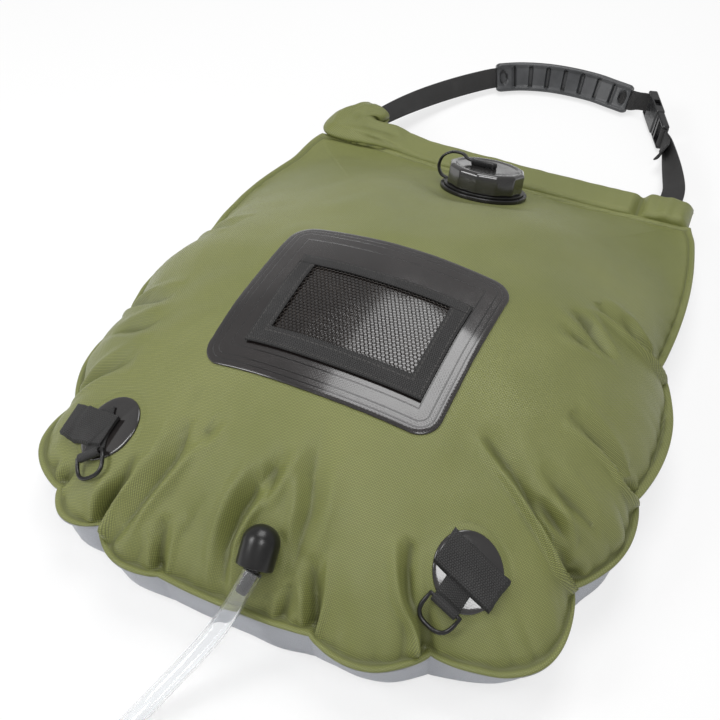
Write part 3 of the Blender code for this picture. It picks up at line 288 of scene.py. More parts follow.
# %% Border group
def make_border_group():
    """Distance in from the edge of a round-cornered rectangle, from a UV map in metres."""
    sizes = {"Half X": 0.08, "Half Y": 0.07, "Corner": 0.016}
    group, start, end = new_group("border_distance", sizes, ("Inset", "Run"))
    u, v, _ = split_vector(group, start["Vector"])
    beyond = []
    for value, half in ((u, "Half X"), (v, "Half Y")):
        straight = math_node(group, "SUBTRACT", start[half], start["Corner"])
        beyond.append(math_node(group, "SUBTRACT", math_node(group, "ABSOLUTE", value), straight))
    outside = [math_node(group, "MAXIMUM", value, 0.0) for value in beyond]
    squares = [times(group, value, value) for value in outside]
    corner = math_node(group, "SQRT", plus(group, *squares))
    inner = math_node(group, "MINIMUM", math_node(group, "MAXIMUM", *beyond), 0.0)
    signed = math_node(group, "SUBTRACT", plus(group, corner, inner), start["Corner"])
    feed(group, times(group, signed, -1.0), end["Inset"])
    feed(group, plus(group, u, v), end["Run"])
    return group


border_group = make_border_group()
print("groups", [g.name for g in bpy.data.node_groups])

# %% [markdown]
# Each material starts from the same place: a Principled shader, a coordinate and a bump. The
# coordinate is the piece's own UV map, in metres, where a pattern follows the cloth, and Object
# coordinates elsewhere. Colours are given as they look on screen and are turned into the linear
# values that the shader works in.

# %% Material helpers
def linear(colour):
    """Linear values of a colour given in the display's 0 to 255 steps."""
    made = []
    for value in colour:
        share = value / 255
        made.append(share / 12.92 if share <= 0.04045 else ((share + 0.055) / 1.055) ** 2.4)
    return (*made, 1.0)


def start_material(name, roughness, uses_uv=False):
    """A new material: returns it with its tree, its shader and its coordinate socket."""
    material = bpy.data.materials.new(name)
    material.use_nodes = True
    tree = material.node_tree
    shader = tree.nodes["Principled BSDF"]
    shader.inputs["Roughness"].default_value = roughness
    coordinate = tree.nodes.new("ShaderNodeTexCoord")
    return material, tree, shader, coordinate.outputs["UV" if uses_uv else "Object"]


def add_group(tree, group, vector, **values):
    node = tree.nodes.new("ShaderNodeGroup")
    node.node_tree = group
    feed(tree, vector, node.inputs["Vector"])
    for label, value in values.items():
        node.inputs[label].default_value = value
    return node.outputs


def mix_colour(tree, share, first, second):
    """A colour mix whose ends are sockets or screen colours."""
    node = tree.nodes.new("ShaderNodeMix")
    node.data_type = "RGBA"
    feed(tree, share, node.inputs[0])
    for slot_index, value in ((6, first), (7, second)):
        if isinstance(value, tuple):
            node.inputs[slot_index].default_value = linear(value)
        else:
            feed(tree, value, node.inputs[slot_index])
    return node.outputs[2]


def spread(tree, value, low, high):
    """Maps a mask from a given range to 0 and 1."""
    node = tree.nodes.new("ShaderNodeMapRange")
    node.inputs["From Min"].default_value = low
    node.inputs["From Max"].default_value = high
    feed(tree, value, node.inputs["Value"])
    return node.outputs["Result"]


def add_bump(tree, shader, heights):
    """Chains bumps of (height socket, depth in metres, strength) into the shader's normal."""
    before = None
    for height, depth, strength in heights:
        node = tree.nodes.new("ShaderNodeBump")
        node.inputs["Distance"].default_value = depth
        node.inputs["Strength"].default_value = strength
        feed(tree, height, node.inputs["Height"])
        if before:
            feed(tree, before, node.inputs["Normal"])
        before = node.outputs["Normal"]
    feed(tree, before, shader.inputs["Normal"])


def vary_roughness(tree, shader, mask, span, middle):
    """Lets the roughness follow a mask over a span, half of it below the middle."""
    rough = plus(tree, times(tree, mask, span), middle - span / 2)
    feed(tree, rough, shader.inputs["Roughness"])


def shaded(colour, share):
    return tuple(int(value * share) for value in colour)


print("material helpers ready")


# %% Stitch lines
def stitch_lines(tree, vector, size, corner, insets, width, pitch=0.0):
    """A mask of lines that follow a rectangle's edge at some insets; a pitch breaks them up."""
    sizes = {"Half X": size[0] / 2, "Half Y": size[1] / 2, "Corner": corner}
    border = add_group(tree, border_group, vector, **sizes)
    total = None
    for inset in insets:
        away = math_node(tree, "ABSOLUTE", math_node(tree, "SUBTRACT", border["Inset"], inset))
        line = math_node(tree, "SUBTRACT", 1.0, math_node(tree, "DIVIDE", away, width), clamp=True)
        total = line if total is None else math_node(tree, "MAXIMUM", total, line)
    if pitch:
        gap_level = -0.55
        wave = math_node(tree, "SINE", times(tree, border["Run"], 2 * math.pi / pitch))
        total = times(tree, total, math_node(tree, "GREATER_THAN", wave, gap_level))
    return total


# %% Painted shade in hollows
def shade_hollows(tree, colour, deep, low, high, share):
    """Paints a deep shade into the colour where the stored attribute says that a point lies in a hollow."""
    hollow = tree.nodes.new("ShaderNodeAttribute")
    hollow.attribute_name = "hollow"
    inside = times(tree, spread(tree, hollow.outputs["Fac"], low, high), share)
    return mix_colour(tree, inside, colour, deep)


# %% Coated oxford fabric
# How dark the painted shade between threads and in the hollows is, as shares of the darker colour
thread_shade_share = 0.64
hollow_shade_share = 0.5


def oxford_fabric(name, light, dark, roughness, pitch, weave_depth, sheen):
    """Coated cloth: painted shade between threads and in hollows, a fine weave in the bump, slow wander."""
    material, tree, shader, vector = start_material(name, roughness, uses_uv=True)
    weave = add_group(tree, weave_group, vector, Pitch=pitch)
    wander = add_group(tree, variation_group, vector, Scale=7.0)
    base = mix_colour(tree, spread(tree, wander["Wander"], 0.3, 0.7), dark, light)
    # Painted shade between the threads and on the lower rows
    cloth = mix_colour(tree, spread(tree, weave["Shade"], 0.0, 0.75), shaded(dark, thread_shade_share), base)
    # Painted shade in the creases and hollows of the cloth
    cloth = shade_hollows(tree, cloth, shaded(dark, hollow_shade_share), 0.0002, 0.0015, 0.5)
    feed(tree, cloth, shader.inputs["Base Color"])
    vary_roughness(tree, shader, wander["Wander"], 0.16, roughness)
    shader.inputs["Sheen Weight"].default_value = sheen
    shader.inputs["Sheen Roughness"].default_value = 0.4
    add_bump(tree, shader, ((wander["Wander"], 0.004, 0.12), (weave["Height"], weave_depth, 0.55)))
    return material


olive_cloth = oxford_fabric("olive_oxford", (159, 163, 97), (137, 143, 78), 0.42, 0.00098, 0.00026, 0.05)
grey_cloth = oxford_fabric("grey_back_fabric", (218, 221, 228), (204, 207, 215), 0.5, 0.0007, 0.0001, 0.05)
print("fabrics", olive_cloth.name, grey_cloth.name)


# %% Webbing
thread_colour = (84, 82, 80)
dust_lift = 22
pocket_size = (0.126, 0.084)
# Size, corner radius, insets of the lines, their half width and the stitch length
binding_stitches = (pocket_size, 0.0001, (0.0018, 0.0102), 0.0006, 0.0034)


def webbing_material(name, light, dark, roughness, stitching=None):
    material, tree, shader, vector = start_material(name, roughness, uses_uv=True)
    ribs = add_group(tree, rib_group, vector)
    wander = add_group(tree, variation_group, vector, Scale=40.0)
    # Painted shade: darker between the ribs and yarns, lighter on their tops
    base = mix_colour(tree, spread(tree, ribs["Shade"], 0.0, 0.8), dark, light)
    dusty = mix_colour(tree, times(tree, spread(tree, wander["Wander"], 0.5, 0.8), 0.35),
                       base, tuple(value + dust_lift for value in light))
    bumps = [(ribs["Height"], 0.0004, 0.8), (wander["Grain"], 0.0001, 0.4)]
    if stitching:
        stitches = stitch_lines(tree, vector, *stitching)
        dusty = mix_colour(tree, times(tree, stitches, 0.8), dusty, thread_colour)
        bumps.append((stitches, 0.0004, 0.7))
    feed(tree, dusty, shader.inputs["Base Color"])
    add_bump(tree, shader, bumps)
    return material


binding_webbing = webbing_material("binding_webbing", (50, 49, 49), (17, 17, 17), 0.62, binding_stitches)
black_webbing = webbing_material("black_webbing", (50, 49, 49), (17, 17, 17), 0.62)
print("webbings", binding_webbing.name, black_webbing.name)


# %% Vinyl, moulded plastic and rubber
patch_size = (0.169, 0.143)
patch_corner = 0.016
weld_lines = (patch_size, patch_corner, (0.0045, 0.0085, 0.0165), 0.0005)
weld_colour = (14, 12, 12)
# Near-black colour painted into hollows as shade
hollow_shade_colour = (12, 12, 12)


def glossy_vinyl(name, light, dark, roughness, depth, stitching=None):
    """Dark vinyl film with the cloth underneath printing through."""
    material, tree, shader, vector = start_material(name, roughness, uses_uv=True)
    weave = add_group(tree, weave_group, vector, Pitch=0.0013)
    wander = add_group(tree, variation_group, vector, Scale=14.0)
    base = mix_colour(tree, spread(tree, wander["Wander"], 0.35, 0.65), dark, light)
    patchy = spread(tree, wander["Wander"], 0.42, 0.6)
    bumps = [(wander["Wander"], 0.0012, 0.2),
             (times(tree, weave["Height"], patchy), depth, 0.35)]
    if stitching:
        stitches = stitch_lines(tree, vector, *stitching)
        base = mix_colour(tree, stitches, base, weld_colour)
        bumps.append((times(tree, stitches, -1.0), 0.0006, 0.9))
    feed(tree, base, shader.inputs["Base Color"])
    vary_roughness(tree, shader, wander["Grain"], 0.1, roughness + 0.01)
    shader.inputs["Coat Weight"].default_value = 1.0
    shader.inputs["Coat Roughness"].default_value = 0.1
    add_bump(tree, shader, bumps)
    return material


def moulded(name, light, dark, roughness, grain_depth, scale=60.0, coat=0.0):
    """Injection-moulded plastic or rubber with a fine grain and painted shade in hollows; coat is a gloss."""
    material, tree, shader, vector = start_material(name, roughness)
    wander = add_group(tree, variation_group, vector, Scale=scale)
    base = mix_colour(tree, spread(tree, wander["Wander"], 0.35, 0.7), dark, light)
    # Painted shade in hollows, such as the grip's slots
    base = shade_hollows(tree, base, hollow_shade_colour, 0.00015, 0.0009, 0.9)
    feed(tree, base, shader.inputs["Base Color"])
    vary_roughness(tree, shader, wander["Wander"], 0.2, roughness)
    shader.inputs["Coat Weight"].default_value = coat
    shader.inputs["Coat Roughness"].default_value = 0.14
    add_bump(tree, shader, ((wander["Grain"], grain_depth, 0.5),))
    return material


patch_vinyl = glossy_vinyl("dark_vinyl", (34, 29, 28), (24, 20, 20), 0.16, 0.00016, weld_lines)
disc_vinyl = glossy_vinyl("disc_vinyl", (44, 41, 40), (30, 28, 28), 0.12, 0.00004)
black_plastic = moulded("black_plastic", (34, 33, 33), (22, 21, 21), 0.26, 0.00005)
cap_plastic = moulded("cap_plastic", (40, 38, 36), (27, 26, 25), 0.2, 0.00005, coat=1.0)
buckle_plastic = moulded("buckle_plastic", (46, 46, 47), (30, 30, 31), 0.26, 0.00004)
grip_plastic = moulded("grip_plastic", (72, 73, 75), (54, 55, 57), 0.36, 0.0001)
soft_rubber = moulded("soft_rubber", (28, 27, 27), (18, 18, 18), 0.3, 0.00006)
gasket_rubber = moulded("gasket_rubber", (120, 118, 114), (98, 96, 93), 0.6, 0.0001)
print("materials", len(bpy.data.materials))


# %% Clear hose
def clear_vinyl():
    """Clear flexible tube: a slightly milky wall that bends and reflects light."""
    material, tree, shader, vector = start_material("clear_hose", 0.07)
    wander = add_group(tree, variation_group, vector, Scale=25.0)
    tint = mix_colour(tree, wander["Wander"], (248, 250, 251), (254, 254, 255))
    feed(tree, tint, shader.inputs["Base Color"])
    vary_roughness(tree, shader, wander["Grain"], 0.03, 0.025)
    shader.inputs["IOR"].default_value = 1.42
    shader.inputs["Transmission Weight"].default_value = 0.97
    add_bump(tree, shader, ((wander["Wander"], 0.0004, 0.08),))
    return material


hose_clear = clear_vinyl()
print("hose in", hose_clear.name)

# %% [markdown]
# ## The hose
# The hose is one clear tube, 12 mm across. About 0.12 m of it shows in the photograph; the rest
# of its 0.68 m is wound into a loose coil on the ground, outside the picture, with the shower
# head on its end. The route repeats the points of the model. A bevelled curve makes the tube and
# Solidify adds its wall, so light can bend through it.

# %% Route of the hose
hose_radius = 0.006
hose_wall = 0.0015
hose_route = (
    (-0.0066, -0.2486, 0.0661), (-0.0103, -0.2597, 0.0567), (-0.014, -0.2705, 0.0476),
    (-0.0187, -0.281, 0.0389), (-0.0251, -0.2919, 0.03), (-0.032, -0.303, 0.0218),
    (-0.0392, -0.316, 0.0142), (-0.0455, -0.33, 0.0092), (-0.051, -0.346, 0.0068),
    (-0.0552, -0.363, 0.0064), (-0.058, -0.38, 0.0063), (-0.0592, -0.392, 0.0063),
)
coil_centre = (0.0085, -0.4151)
coil_turns = 1.25
coil_radius = 0.068
coil_pitch = 0.0128
coil_climb_turns = 0.28
coil_rest_height = 0.0063
coil_straight = 0.012
head_height = 0.0228
free_step = 0.006
hose_sides = 60
hose_step = 0.0018


def coil_points(per_turn):
    """The coil's centre line: turns that wind inwards on the ground, then climb at the end."""
    x, y = coil_centre
    points = [(x - coil_radius, y + coil_straight, coil_rest_height)]
    for k in range(round(coil_turns * per_turn) + 1):
        turn = k / per_turn
        angle = math.pi + 2 * math.pi * turn
        radius = coil_radius - coil_pitch * turn
        climb = float(smoothstep((turn - coil_turns + coil_climb_turns) / coil_climb_turns))
        across, along = polar(radius, angle)
        points.append((x + across, y + along, coil_rest_height + (head_height - coil_rest_height) * climb))
    end = points[-1]
    points.append((end[0] + coil_straight, end[1], head_height))
    return points


coil_line = coil_points(48)
free_line = curve_through(hose_route + (coil_line[0],), free_step)
hose_line = [tuple(point) for point in free_line[:-1]] + coil_line


# %% Tube helper
def outwards(bm):
    bmesh.ops.recalc_face_normals(bm, faces=bm.faces)
    return bm


def tube_bmesh(points, radius, sides=24, capped=True, cyclic=False):
    """A round tube along a line, as a bmesh, made from a bevelled curve; sides is even."""
    curve = bpy.data.curves.new("line", "CURVE")
    curve.dimensions = "3D"
    curve.bevel_depth = radius
    curve.bevel_resolution = max(0, sides // 2 - 2)
    curve.use_fill_caps = capped
    spline = curve.splines.new("POLY")
    spline.points.add(len(points) - 1)
    for target, point in zip(spline.points, points):
        target.co = (*point, 1.0)
    spline.use_cyclic_u = cyclic
    holder = add_object("line", curve)
    bpy.context.view_layer.update()
    mesh = bpy.data.meshes.new_from_object(holder.evaluated_get(bpy.context.evaluated_depsgraph_get()))
    bpy.data.objects.remove(holder, do_unlink=True)
    bpy.data.curves.remove(curve)
    bm = bmesh.new()
    bm.from_mesh(mesh)
    bpy.data.meshes.remove(mesh)
    bmesh.ops.remove_doubles(bm, verts=bm.verts, dist=0.00001)
    return outwards(bm)


def thicken(thing, thickness):
    """Gives a sheet a wall on its inner side."""
    wall = thing.modifiers.new("wall", "SOLIDIFY")
    wall.thickness = thickness
    wall.offset = -1.0
    return thing


print("tube helpers ready")


# %% The clear hose
def make_hose():
    bm = tube_bmesh(curve_through(hose_line, hose_step), hose_radius, hose_sides, capped=False)
    middle = Vector(hose_line[len(hose_line) // 2])
    nearest = min(bm.faces, key=lambda f: (f.calc_center_median() - middle).length)
    if nearest.normal.dot(nearest.calc_center_median() - middle) < 0:
        bmesh.ops.reverse_faces(bm, faces=bm.faces)
    made = make_piece("clear_hose", bm, hose_clear, "bag", "clear_hose", "hose", "hose_coil")
    return thicken(made, hose_wall)


clear_hose = make_hose()
tell(clear_hose)

# %% [markdown]
# ## Surfaces from rows of points
# Cloth, straps and turned pieces all start as a flat grid whose points are then moved. A grid
# gives clean quads, and its rows and columns carry a UV map in metres, so that a weave keeps its
# true size on every piece.

# %% Grid helper
def grid_bmesh(places, joined=False, uv=None):
    """A bmesh grid from points [row][column]; joined closes each row on itself."""
    rows, columns = places.shape[:2]
    if joined:
        places = np.concatenate((places, places[:, :1]), axis=1)
        columns += 1
    bm = bmesh.new()
    bmesh.ops.create_grid(bm, x_segments=columns - 1, y_segments=rows - 1, size=1.0)
    for vert, place in zip(bm.verts, places.reshape(-1, 3)):
        vert.co = place
    if uv is None:
        across = np.linalg.norm(np.diff(places, axis=1), axis=2)
        along = np.linalg.norm(np.diff(places, axis=0), axis=2)
        u, v = np.zeros((2, rows, columns))
        u[1:] = np.cumsum(along.mean(axis=1))[:, None]
        v[:, 1:] = np.cumsum(across[rows // 2])[None, :]
        uv = np.stack((u, v), axis=2)
    elif joined and uv.shape[1] < columns:
        uv = np.concatenate((uv, uv[:, :1]), axis=1)
    flat_uv = uv.reshape(-1, 2).tolist()
    layer = bm.loops.layers.uv.verify()
    bm.verts.index_update()
    for face in bm.faces:
        for loop in face.loops:
            loop[layer].uv = flat_uv[loop.vert.index]
    if joined:
        bmesh.ops.remove_doubles(bm, verts=bm.verts, dist=0.0000005)
    return bm


def close_ends(bm):
    """Fills each open rim of a bmesh and turns its faces outwards."""
    bmesh.ops.holes_fill(bm, edges=[edge for edge in bm.edges if edge.is_boundary], sides=0)
    return outwards(bm)


def face_up(bm):
    """Turns an open sheet so that most of it faces upwards."""
    bm.normal_update()
    if sum(face.normal.z * face.calc_area() for face in bm.faces) < 0:
        bmesh.ops.reverse_faces(bm, faces=bm.faces)
    return bm


print("grid helper ready")

# %% [markdown]
# ## The water bag
# The bag is two coated panels welded together round their edge. Filled, it swells like a
# cushion. The flat cloth has too much edge for the swollen shape, so the seam is drawn in at a
# dozen notches and swells out between them. The outline is made notch by notch: a straight run
# with a half wave bulging out from it.

# %% Outline of the seam
bag_half_width = 0.2
bag_half_length = 0.26
crown_height = 0.13
crown_y = -0.115 * bag_half_length
lobe_depth = 0.016
seam_height = 0.039
top_seam_height = 0.028
cloth_wall = 0.0012
flange_width = 0.004
fit_gap = 0.0003
# Notches as shares of the half width and half length, then the bulge of the lobe that follows
notches = (
    (0.86, 0.935, 0.62), (0.905, 0.162, 0.94), (0.955, -0.323, 0.84), (0.85, -0.642, 2.35),
    (0.525, -0.935, 1.08), (0.17, -0.992, 0.2), (-0.345, -0.981, 0.73), (-0.615, -0.904, 0.81),
    (-0.82, -0.846, 1.2), (-0.97, -0.577, 0.8), (-1.025, -0.231, 0.85), (-0.985, 0.173, 0.75),
    (-0.86, 0.935, 0.0),
)
coarse_step = 0.018
fine_step = 0.0015


def trace_outline(step, least):
    """Seam points, their closeness to a notch, and each one's place among coarse points."""
    scale = np.array([bag_half_width, bag_half_length])
    places = []
    closeness = []
    at = []
    base = 0
    for k, (x_share, y_share, bulge) in enumerate(notches):
        start = np.array([x_share, y_share]) * scale
        run = np.array(notches[(k + 1) % len(notches)][:2]) * scale - start
        length = np.linalg.norm(run)
        outward = np.array([-run[1], run[0]]) / length
        coarse_count = max(4, round(length / coarse_step))
        count = max(least, round(length / step))
        for share in np.arange(count) / count:
            swell = math.sin(math.pi * share) ** 0.8
            places.append(start + run * share + outward * lobe_depth * bulge * swell)
            closeness.append(1 - swell if bulge else 0.0)
            at.append(base + share * coarse_count)
        base += coarse_count
    return np.array(places), np.array(closeness), np.array(at)


def roll_smooth(values, passes):
    for _ in range(passes):
        values = (np.roll(values, 1, 0) + 2 * values + np.roll(values, -1, 0)) / 4
    return values


coarse_line = roll_smooth(trace_outline(coarse_step, 4)[0], 24)
seam_line, notch_closeness, coarse_at = trace_outline(fine_step, 8)
smooth_line = np.column_stack([np.interp(coarse_at, range(len(column) + 1), np.append(column, column[0]))
                               for column in coarse_line.T])
smooth_line = roll_smooth(smooth_line, 40)
crown_centre = np.array([0.0, crown_y])
print("seam points", len(seam_line))

# %% [markdown]
# Every ring of the panel is the outline moved a share of the way to the middle. Its height
# follows a rounded profile: steep at the sides, where the bag is fullest, and gentle at the
# top edge. Under the filler's stiff flange the cloth is pulled flat.

# %% Profile of the front panel
side_steepness = 0.58
bottom_steepness = 0.75
top_steepness = 1.42
seam_top_share = smoothstep(seam_line[:, 1] / bag_half_length + 0.1)
seam_bottom_share = smoothstep((-seam_line[:, 1] / bag_half_length - 0.5) / 0.4)
seam_z = seam_height + (top_seam_height - seam_height) * seam_top_share ** 3
steepness = side_steepness + (top_steepness - side_steepness) * seam_top_share
steepness = steepness + (bottom_steepness - steepness) * seam_bottom_share
front_seam = seam_z + fit_gap / 2 + cloth_wall
back_seam = seam_z - fit_gap / 2 - cloth_wall
filler_y = 0.185
filler_tilt = math.radians(22.0)
filler_height = 0.0545
seat_radius = 0.042
seat_fade = 0.034
# How far forward the hem is drawn along the top edge: X, then the move in Y
hem_x = (-0.172, -0.12, -0.08, -0.03, 0.02, 0.08, 0.14, 0.19)
hem_move = (0.006, 0.005, 0.0, -0.005, -0.008, -0.01, -0.01, -0.009)
corner_move = 0.007


def top_bend(places):
    """Draws the top edge forward on the right, where the filled bag pulls the hem in."""
    x, y = places[..., 0], places[..., 1]
    moved = places.copy()
    moved[..., 1] += np.interp(x, hem_x, hem_move) * smoothstep((y - 0.213) / 0.032)
    moved[..., 0] -= corner_move * smoothstep((-x - 0.125) / 0.045) * smoothstep((y - 0.195) / 0.045)
    return moved


def plan_ring(share, hold=10):
    """The outline a share of the way in; its scallops fade inwards, faster for a high hold."""
    fade = (1 - share) ** hold
    outline = fade * seam_line + (1 - fade) * smooth_line
    return crown_centre + (1 - share) * (outline - crown_centre)


def seat_blend(x, y, z):
    weight = 1 - smoothstep((np.hypot(x, y - filler_y) - seat_radius) / seat_fade)
    plane = filler_height - (y - filler_y) * math.tan(filler_tilt)
    return z + (plane - z) * weight


# The welded rim lies flat this share of the way in: wide on the right, narrow elsewhere
right_share = smoothstep((seam_line[:, 0] - 0.12) / 0.05) * smoothstep((seam_line[:, 1] + 0.14) / 0.1)
rim_share = 0.003 + 0.012 * right_share * (1 - seam_top_share ** 2)


def crown_ring(share):
    x, y = plan_ring(share).T
    inside = np.maximum(0.0, share - rim_share * (1 - smoothstep(share / 0.12)))
    rise = (1 - (1 - inside) ** 2) ** steepness
    rise = rise * (1 - 0.35 * notch_closeness * (1 - share) ** 14)
    height = front_seam + (crown_height - front_seam) * rise
    blend = smoothstep((share - 0.035) / 0.03)
    return np.column_stack((x, y, height + (seat_blend(x, y, height) - height) * blend))


def flange_ring(height, reach):
    """A ring of the welded rim, reaching outwards past the seam."""
    outward = smooth_line - crown_centre
    outward = outward / np.linalg.norm(outward, axis=1)[:, None]
    return np.column_stack((seam_line + outward * reach, height))


front_shares = np.concatenate((np.arange(0.002, 0.06, 0.0036), np.arange(0.06, 0.3, 0.0095),
                               np.linspace(0.3, 0.985, 30)))
front_rows = np.array([crown_ring(share) for share in front_shares])
print("front rings", len(front_rows))

# %% [markdown]
# The creases are what makes it cloth. Each starts in a notch, where the gathered edge folds in,
# and runs up the swell until the water has pulled it smooth; a few more lie free between them.
# They are drawn as lines of places in plan, read off the photograph, and each presses a
# soft valley with a shoulder on either side.

# %% Creases
# Name of the stretch: how deep, half width, how steep its left side is, 1 when it starts in a
# notch, then its places
creases = (
    ("right corner", 0.0088, 0.0036, 1.0, 1, ((0.1745, -0.1672), (0.1645, -0.1706), (0.1556, -0.164),
     (0.1468, -0.1566), (0.1389, -0.1513), (0.1292, -0.1446), (0.1183, -0.1378), (0.1084, -0.1322),
     (0.096, -0.125))),
    ("right corner, short", 0.0032, 0.0026, 0.5, 0, ((0.1638, -0.1564), (0.1555, -0.1515),
     (0.1484, -0.1474), (0.14, -0.143))),
    ("right lobe fold", 0.0034, 0.0045, 0.4, 0, ((0.1799, -0.1403), (0.1698, -0.1369), (0.1579, -0.1353),
     (0.146, -0.1327), (0.133, -0.127))),
    ("right middle", 0.0065, 0.0038, 0.5, 1, ((0.1911, -0.086), (0.1836, -0.0913), (0.1776, -0.0876),
     (0.1674, -0.0846), (0.1549, -0.0828), (0.14, -0.08))),
    ("right upper", 0.0095, 0.0038, 0.6, 1, ((0.1835, 0.03), (0.1719, 0.0262), (0.1606, 0.0264),
     (0.1499, 0.0299), (0.1414, 0.0312), (0.13, 0.033))),
    ("right upper, second", 0.004, 0.0028, 0.0, 0, ((0.1765, 0.0239), (0.1667, 0.032), (0.157, 0.038),
     (0.147, 0.042))),
    ("right upper, free", 0.0036, 0.004, 0.0, 0, ((0.156, -0.012), (0.1502, -0.0089), (0.1382, -0.0035),
     (0.1275, 0.0035), (0.117, 0.01))),
    ("right upper, free low", 0.0028, 0.004, 0.0, 0, ((0.148, -0.014), (0.14, -0.015), (0.1292, -0.015),
     (0.1172, -0.0123))),
    ("bottom middle", 0.011, 0.0036, 0.3, 1, ((0.105, -0.253), (0.1015, -0.2412), (0.0962, -0.2344),
     (0.0887, -0.2285), (0.0836, -0.2204), (0.0801, -0.2116), (0.077, -0.201))),
    ("bottom left of ring", 0.0058, 0.0032, 0.0, 1, ((0.034, -0.2597), (0.0335, -0.252), (0.0308, -0.2439),
     (0.0268, -0.2358), (0.023, -0.227))),
    ("beside outlet", 0.0066, 0.0038, -0.4, 0, ((-0.0259, -0.256), (-0.0295, -0.2434), (-0.0318, -0.235),
     (-0.0312, -0.2256), (-0.0288, -0.2149), (-0.0247, -0.2055), (-0.0215, -0.196), (-0.02, -0.188))),
    ("above outlet", 0.0032, 0.0032, 0.0, 0, ((-0.0165, -0.213), (-0.016, -0.205), (-0.0163, -0.196),
     (-0.019, -0.182))),
    ("right of outlet", 0.0038, 0.0046, 0.3, 0, ((0.015, -0.24), (0.0132, -0.2268), (0.0126, -0.2176),
     (0.0125, -0.2079), (0.0101, -0.1976), (0.0062, -0.1854), (0.002, -0.165))),
    ("left low", 0.01, 0.004, -0.5, 1, ((-0.1195, -0.246), (-0.1205, -0.233), (-0.1194, -0.226),
     (-0.1167, -0.2177), (-0.1158, -0.2082), (-0.115, -0.199))),
    ("left fold", 0.0055, 0.0044, -0.3, 0, ((-0.103, -0.244), (-0.1006, -0.2384), (-0.097, -0.2272),
     (-0.0922, -0.2142), (-0.0865, -0.2002), (-0.0847, -0.1889), (-0.0845, -0.177), (-0.085, -0.169))),
    ("left fold, second", 0.0028, 0.004, 0.0, 0, ((-0.076, -0.196), (-0.0738, -0.1871), (-0.0707, -0.1786),
     (-0.0697, -0.169))),
    ("left pucker", 0.0048, 0.0032, 0.0, 1, ((-0.0705, -0.258), (-0.0727, -0.2481), (-0.0738, -0.2404),
     (-0.0769, -0.232))),
    ("left notch", 0.0068, 0.0036, 0.0, 1, ((-0.1665, -0.222), (-0.1625, -0.212), (-0.162, -0.204),
     (-0.166, -0.196), (-0.173, -0.189))),
    ("left side", 0.0052, 0.0046, 0.0, 1, ((-0.195, -0.15), (-0.183, -0.142), (-0.17, -0.137),
     (-0.15, -0.133))),
    ("left side, upper", 0.0062, 0.0046, 0.0, 1, ((-0.205, -0.06), (-0.19, -0.064), (-0.176, -0.068),
     (-0.155, -0.072))),
    ("left side, free", 0.0034, 0.0048, 0.0, 0, ((-0.196, -0.098), (-0.18, -0.101), (-0.165, -0.102),
     (-0.148, -0.1))),
    ("left side, top", 0.0056, 0.0046, 0.0, 1, ((-0.197, 0.045), (-0.185, 0.04), (-0.17, 0.033),
     (-0.152, 0.028))),
    ("outlet pucker", 0.0034, 0.0032, 0.0, 1, ((0.015, -0.26), (0.016, -0.252), (0.015, -0.244))),
)
crease_gain = 1.45
crease_step = 0.002
# Round welds that print through the cloth: place and radius
weld_rings = ((-0.142, -0.186, 0.0255), (0.1135, -0.204, 0.0255), (-0.0068, -0.2385, 0.0165))
weld_dip = 0.0013
weld_lip = 0.0006


def crease_press(places):
    """How far each point is pressed in by all the creases."""
    flat = places[:, :, :2].reshape(-1, 2)
    press = np.zeros(len(flat))
    for _, depth, width, lean, from_notch, line in creases:
        route = curve_through([(x, y, 0.0) for x, y in line], crease_step)[:, :2]
        low = route.min(axis=0) - 5 * width
        high = route.max(axis=0) + 5 * width
        near = np.nonzero(((flat > low) & (flat < high)).all(axis=1))[0]
        offset = flat[near][:, None, :] - route[None, :, :]
        distance = np.linalg.norm(offset, axis=2)
        nearest = distance.argmin(axis=1)
        each = np.arange(len(near))
        along = nearest / (len(route) - 1)
        heading = np.gradient(route, axis=0)[nearest]
        away = offset[each, nearest]
        side = np.sign(heading[:, 0] * away[:, 1] - heading[:, 1] * away[:, 0])
        q = distance[each, nearest] / (width * (0.85 + 0.75 * along)) * (1 + side * lean * 0.4)
        taper = (1 - along) ** 0.6 if from_notch else np.sin(np.pi * np.clip(along, 0.02, 0.98)) ** 0.8
        valley = np.exp(-np.maximum(q, 0.0) ** 1.5)
        shoulder = np.exp(-((q - 2.0) / 0.85) ** 2)
        press[near] += crease_gain * depth * taper * (valley - (0.42 + 0.2 * side * lean) * shoulder)
    for x, y, radius in weld_rings:
        off = np.hypot(flat[:, 0] - x, flat[:, 1] - y) - radius
        press += weld_dip * np.exp(-(off / 0.0016) ** 2) - weld_lip * np.exp(-((off + 0.0032) / 0.002) ** 2)
    return press.reshape(places.shape[:2])


print("creases", [name for name, *_ in creases])

# %% [markdown]
# Between the creases the cloth puckers along the weld and waves softly. It lies calm round the
# welded fittings, which hold it flat, and under the patch.

# %% Waves and puckers
# Welded fittings: place, radius that is held flat and how far the calm fades
calm_spots = (
    (0.0, filler_y, 0.04, 0.025), (-0.007, -0.239, 0.014, 0.01), (-0.142, -0.19, 0.024, 0.014),
    (0.1135, -0.21, 0.024, 0.014), (-0.146, -0.2075, 0.014, 0.01), (0.1075, -0.2268, 0.014, 0.01),
)
patch_place = (-0.0105, -0.07, -4.0)
patch_fade = 0.02
pucker_depth = 0.0042
pucker_reach_share = 0.045
# Size and depth of the slow waves and of the ripples on them
wave_size, wave_depth = 0.075, 0.003
ripple_size, ripple_depth = 0.026, 0.0009


def soft_noise(places, size, seed):
    """Smooth noise of the given size in metres at each point."""
    flat = (places.reshape(-1, 3) / size + (seed, 0.0, 0.0)).tolist()
    return np.array([noise.noise(Vector(place)) for place in flat]).reshape(places.shape[:2])


def ring_noise(count, reach, seed):
    """Noise that closes on itself round the bag; a wide reach makes it fine."""
    turns = np.linspace(0, 1, count, endpoint=False) * 2 * math.pi
    return np.array([noise.noise(Vector((*polar(reach, turn), seed))) for turn in turns])


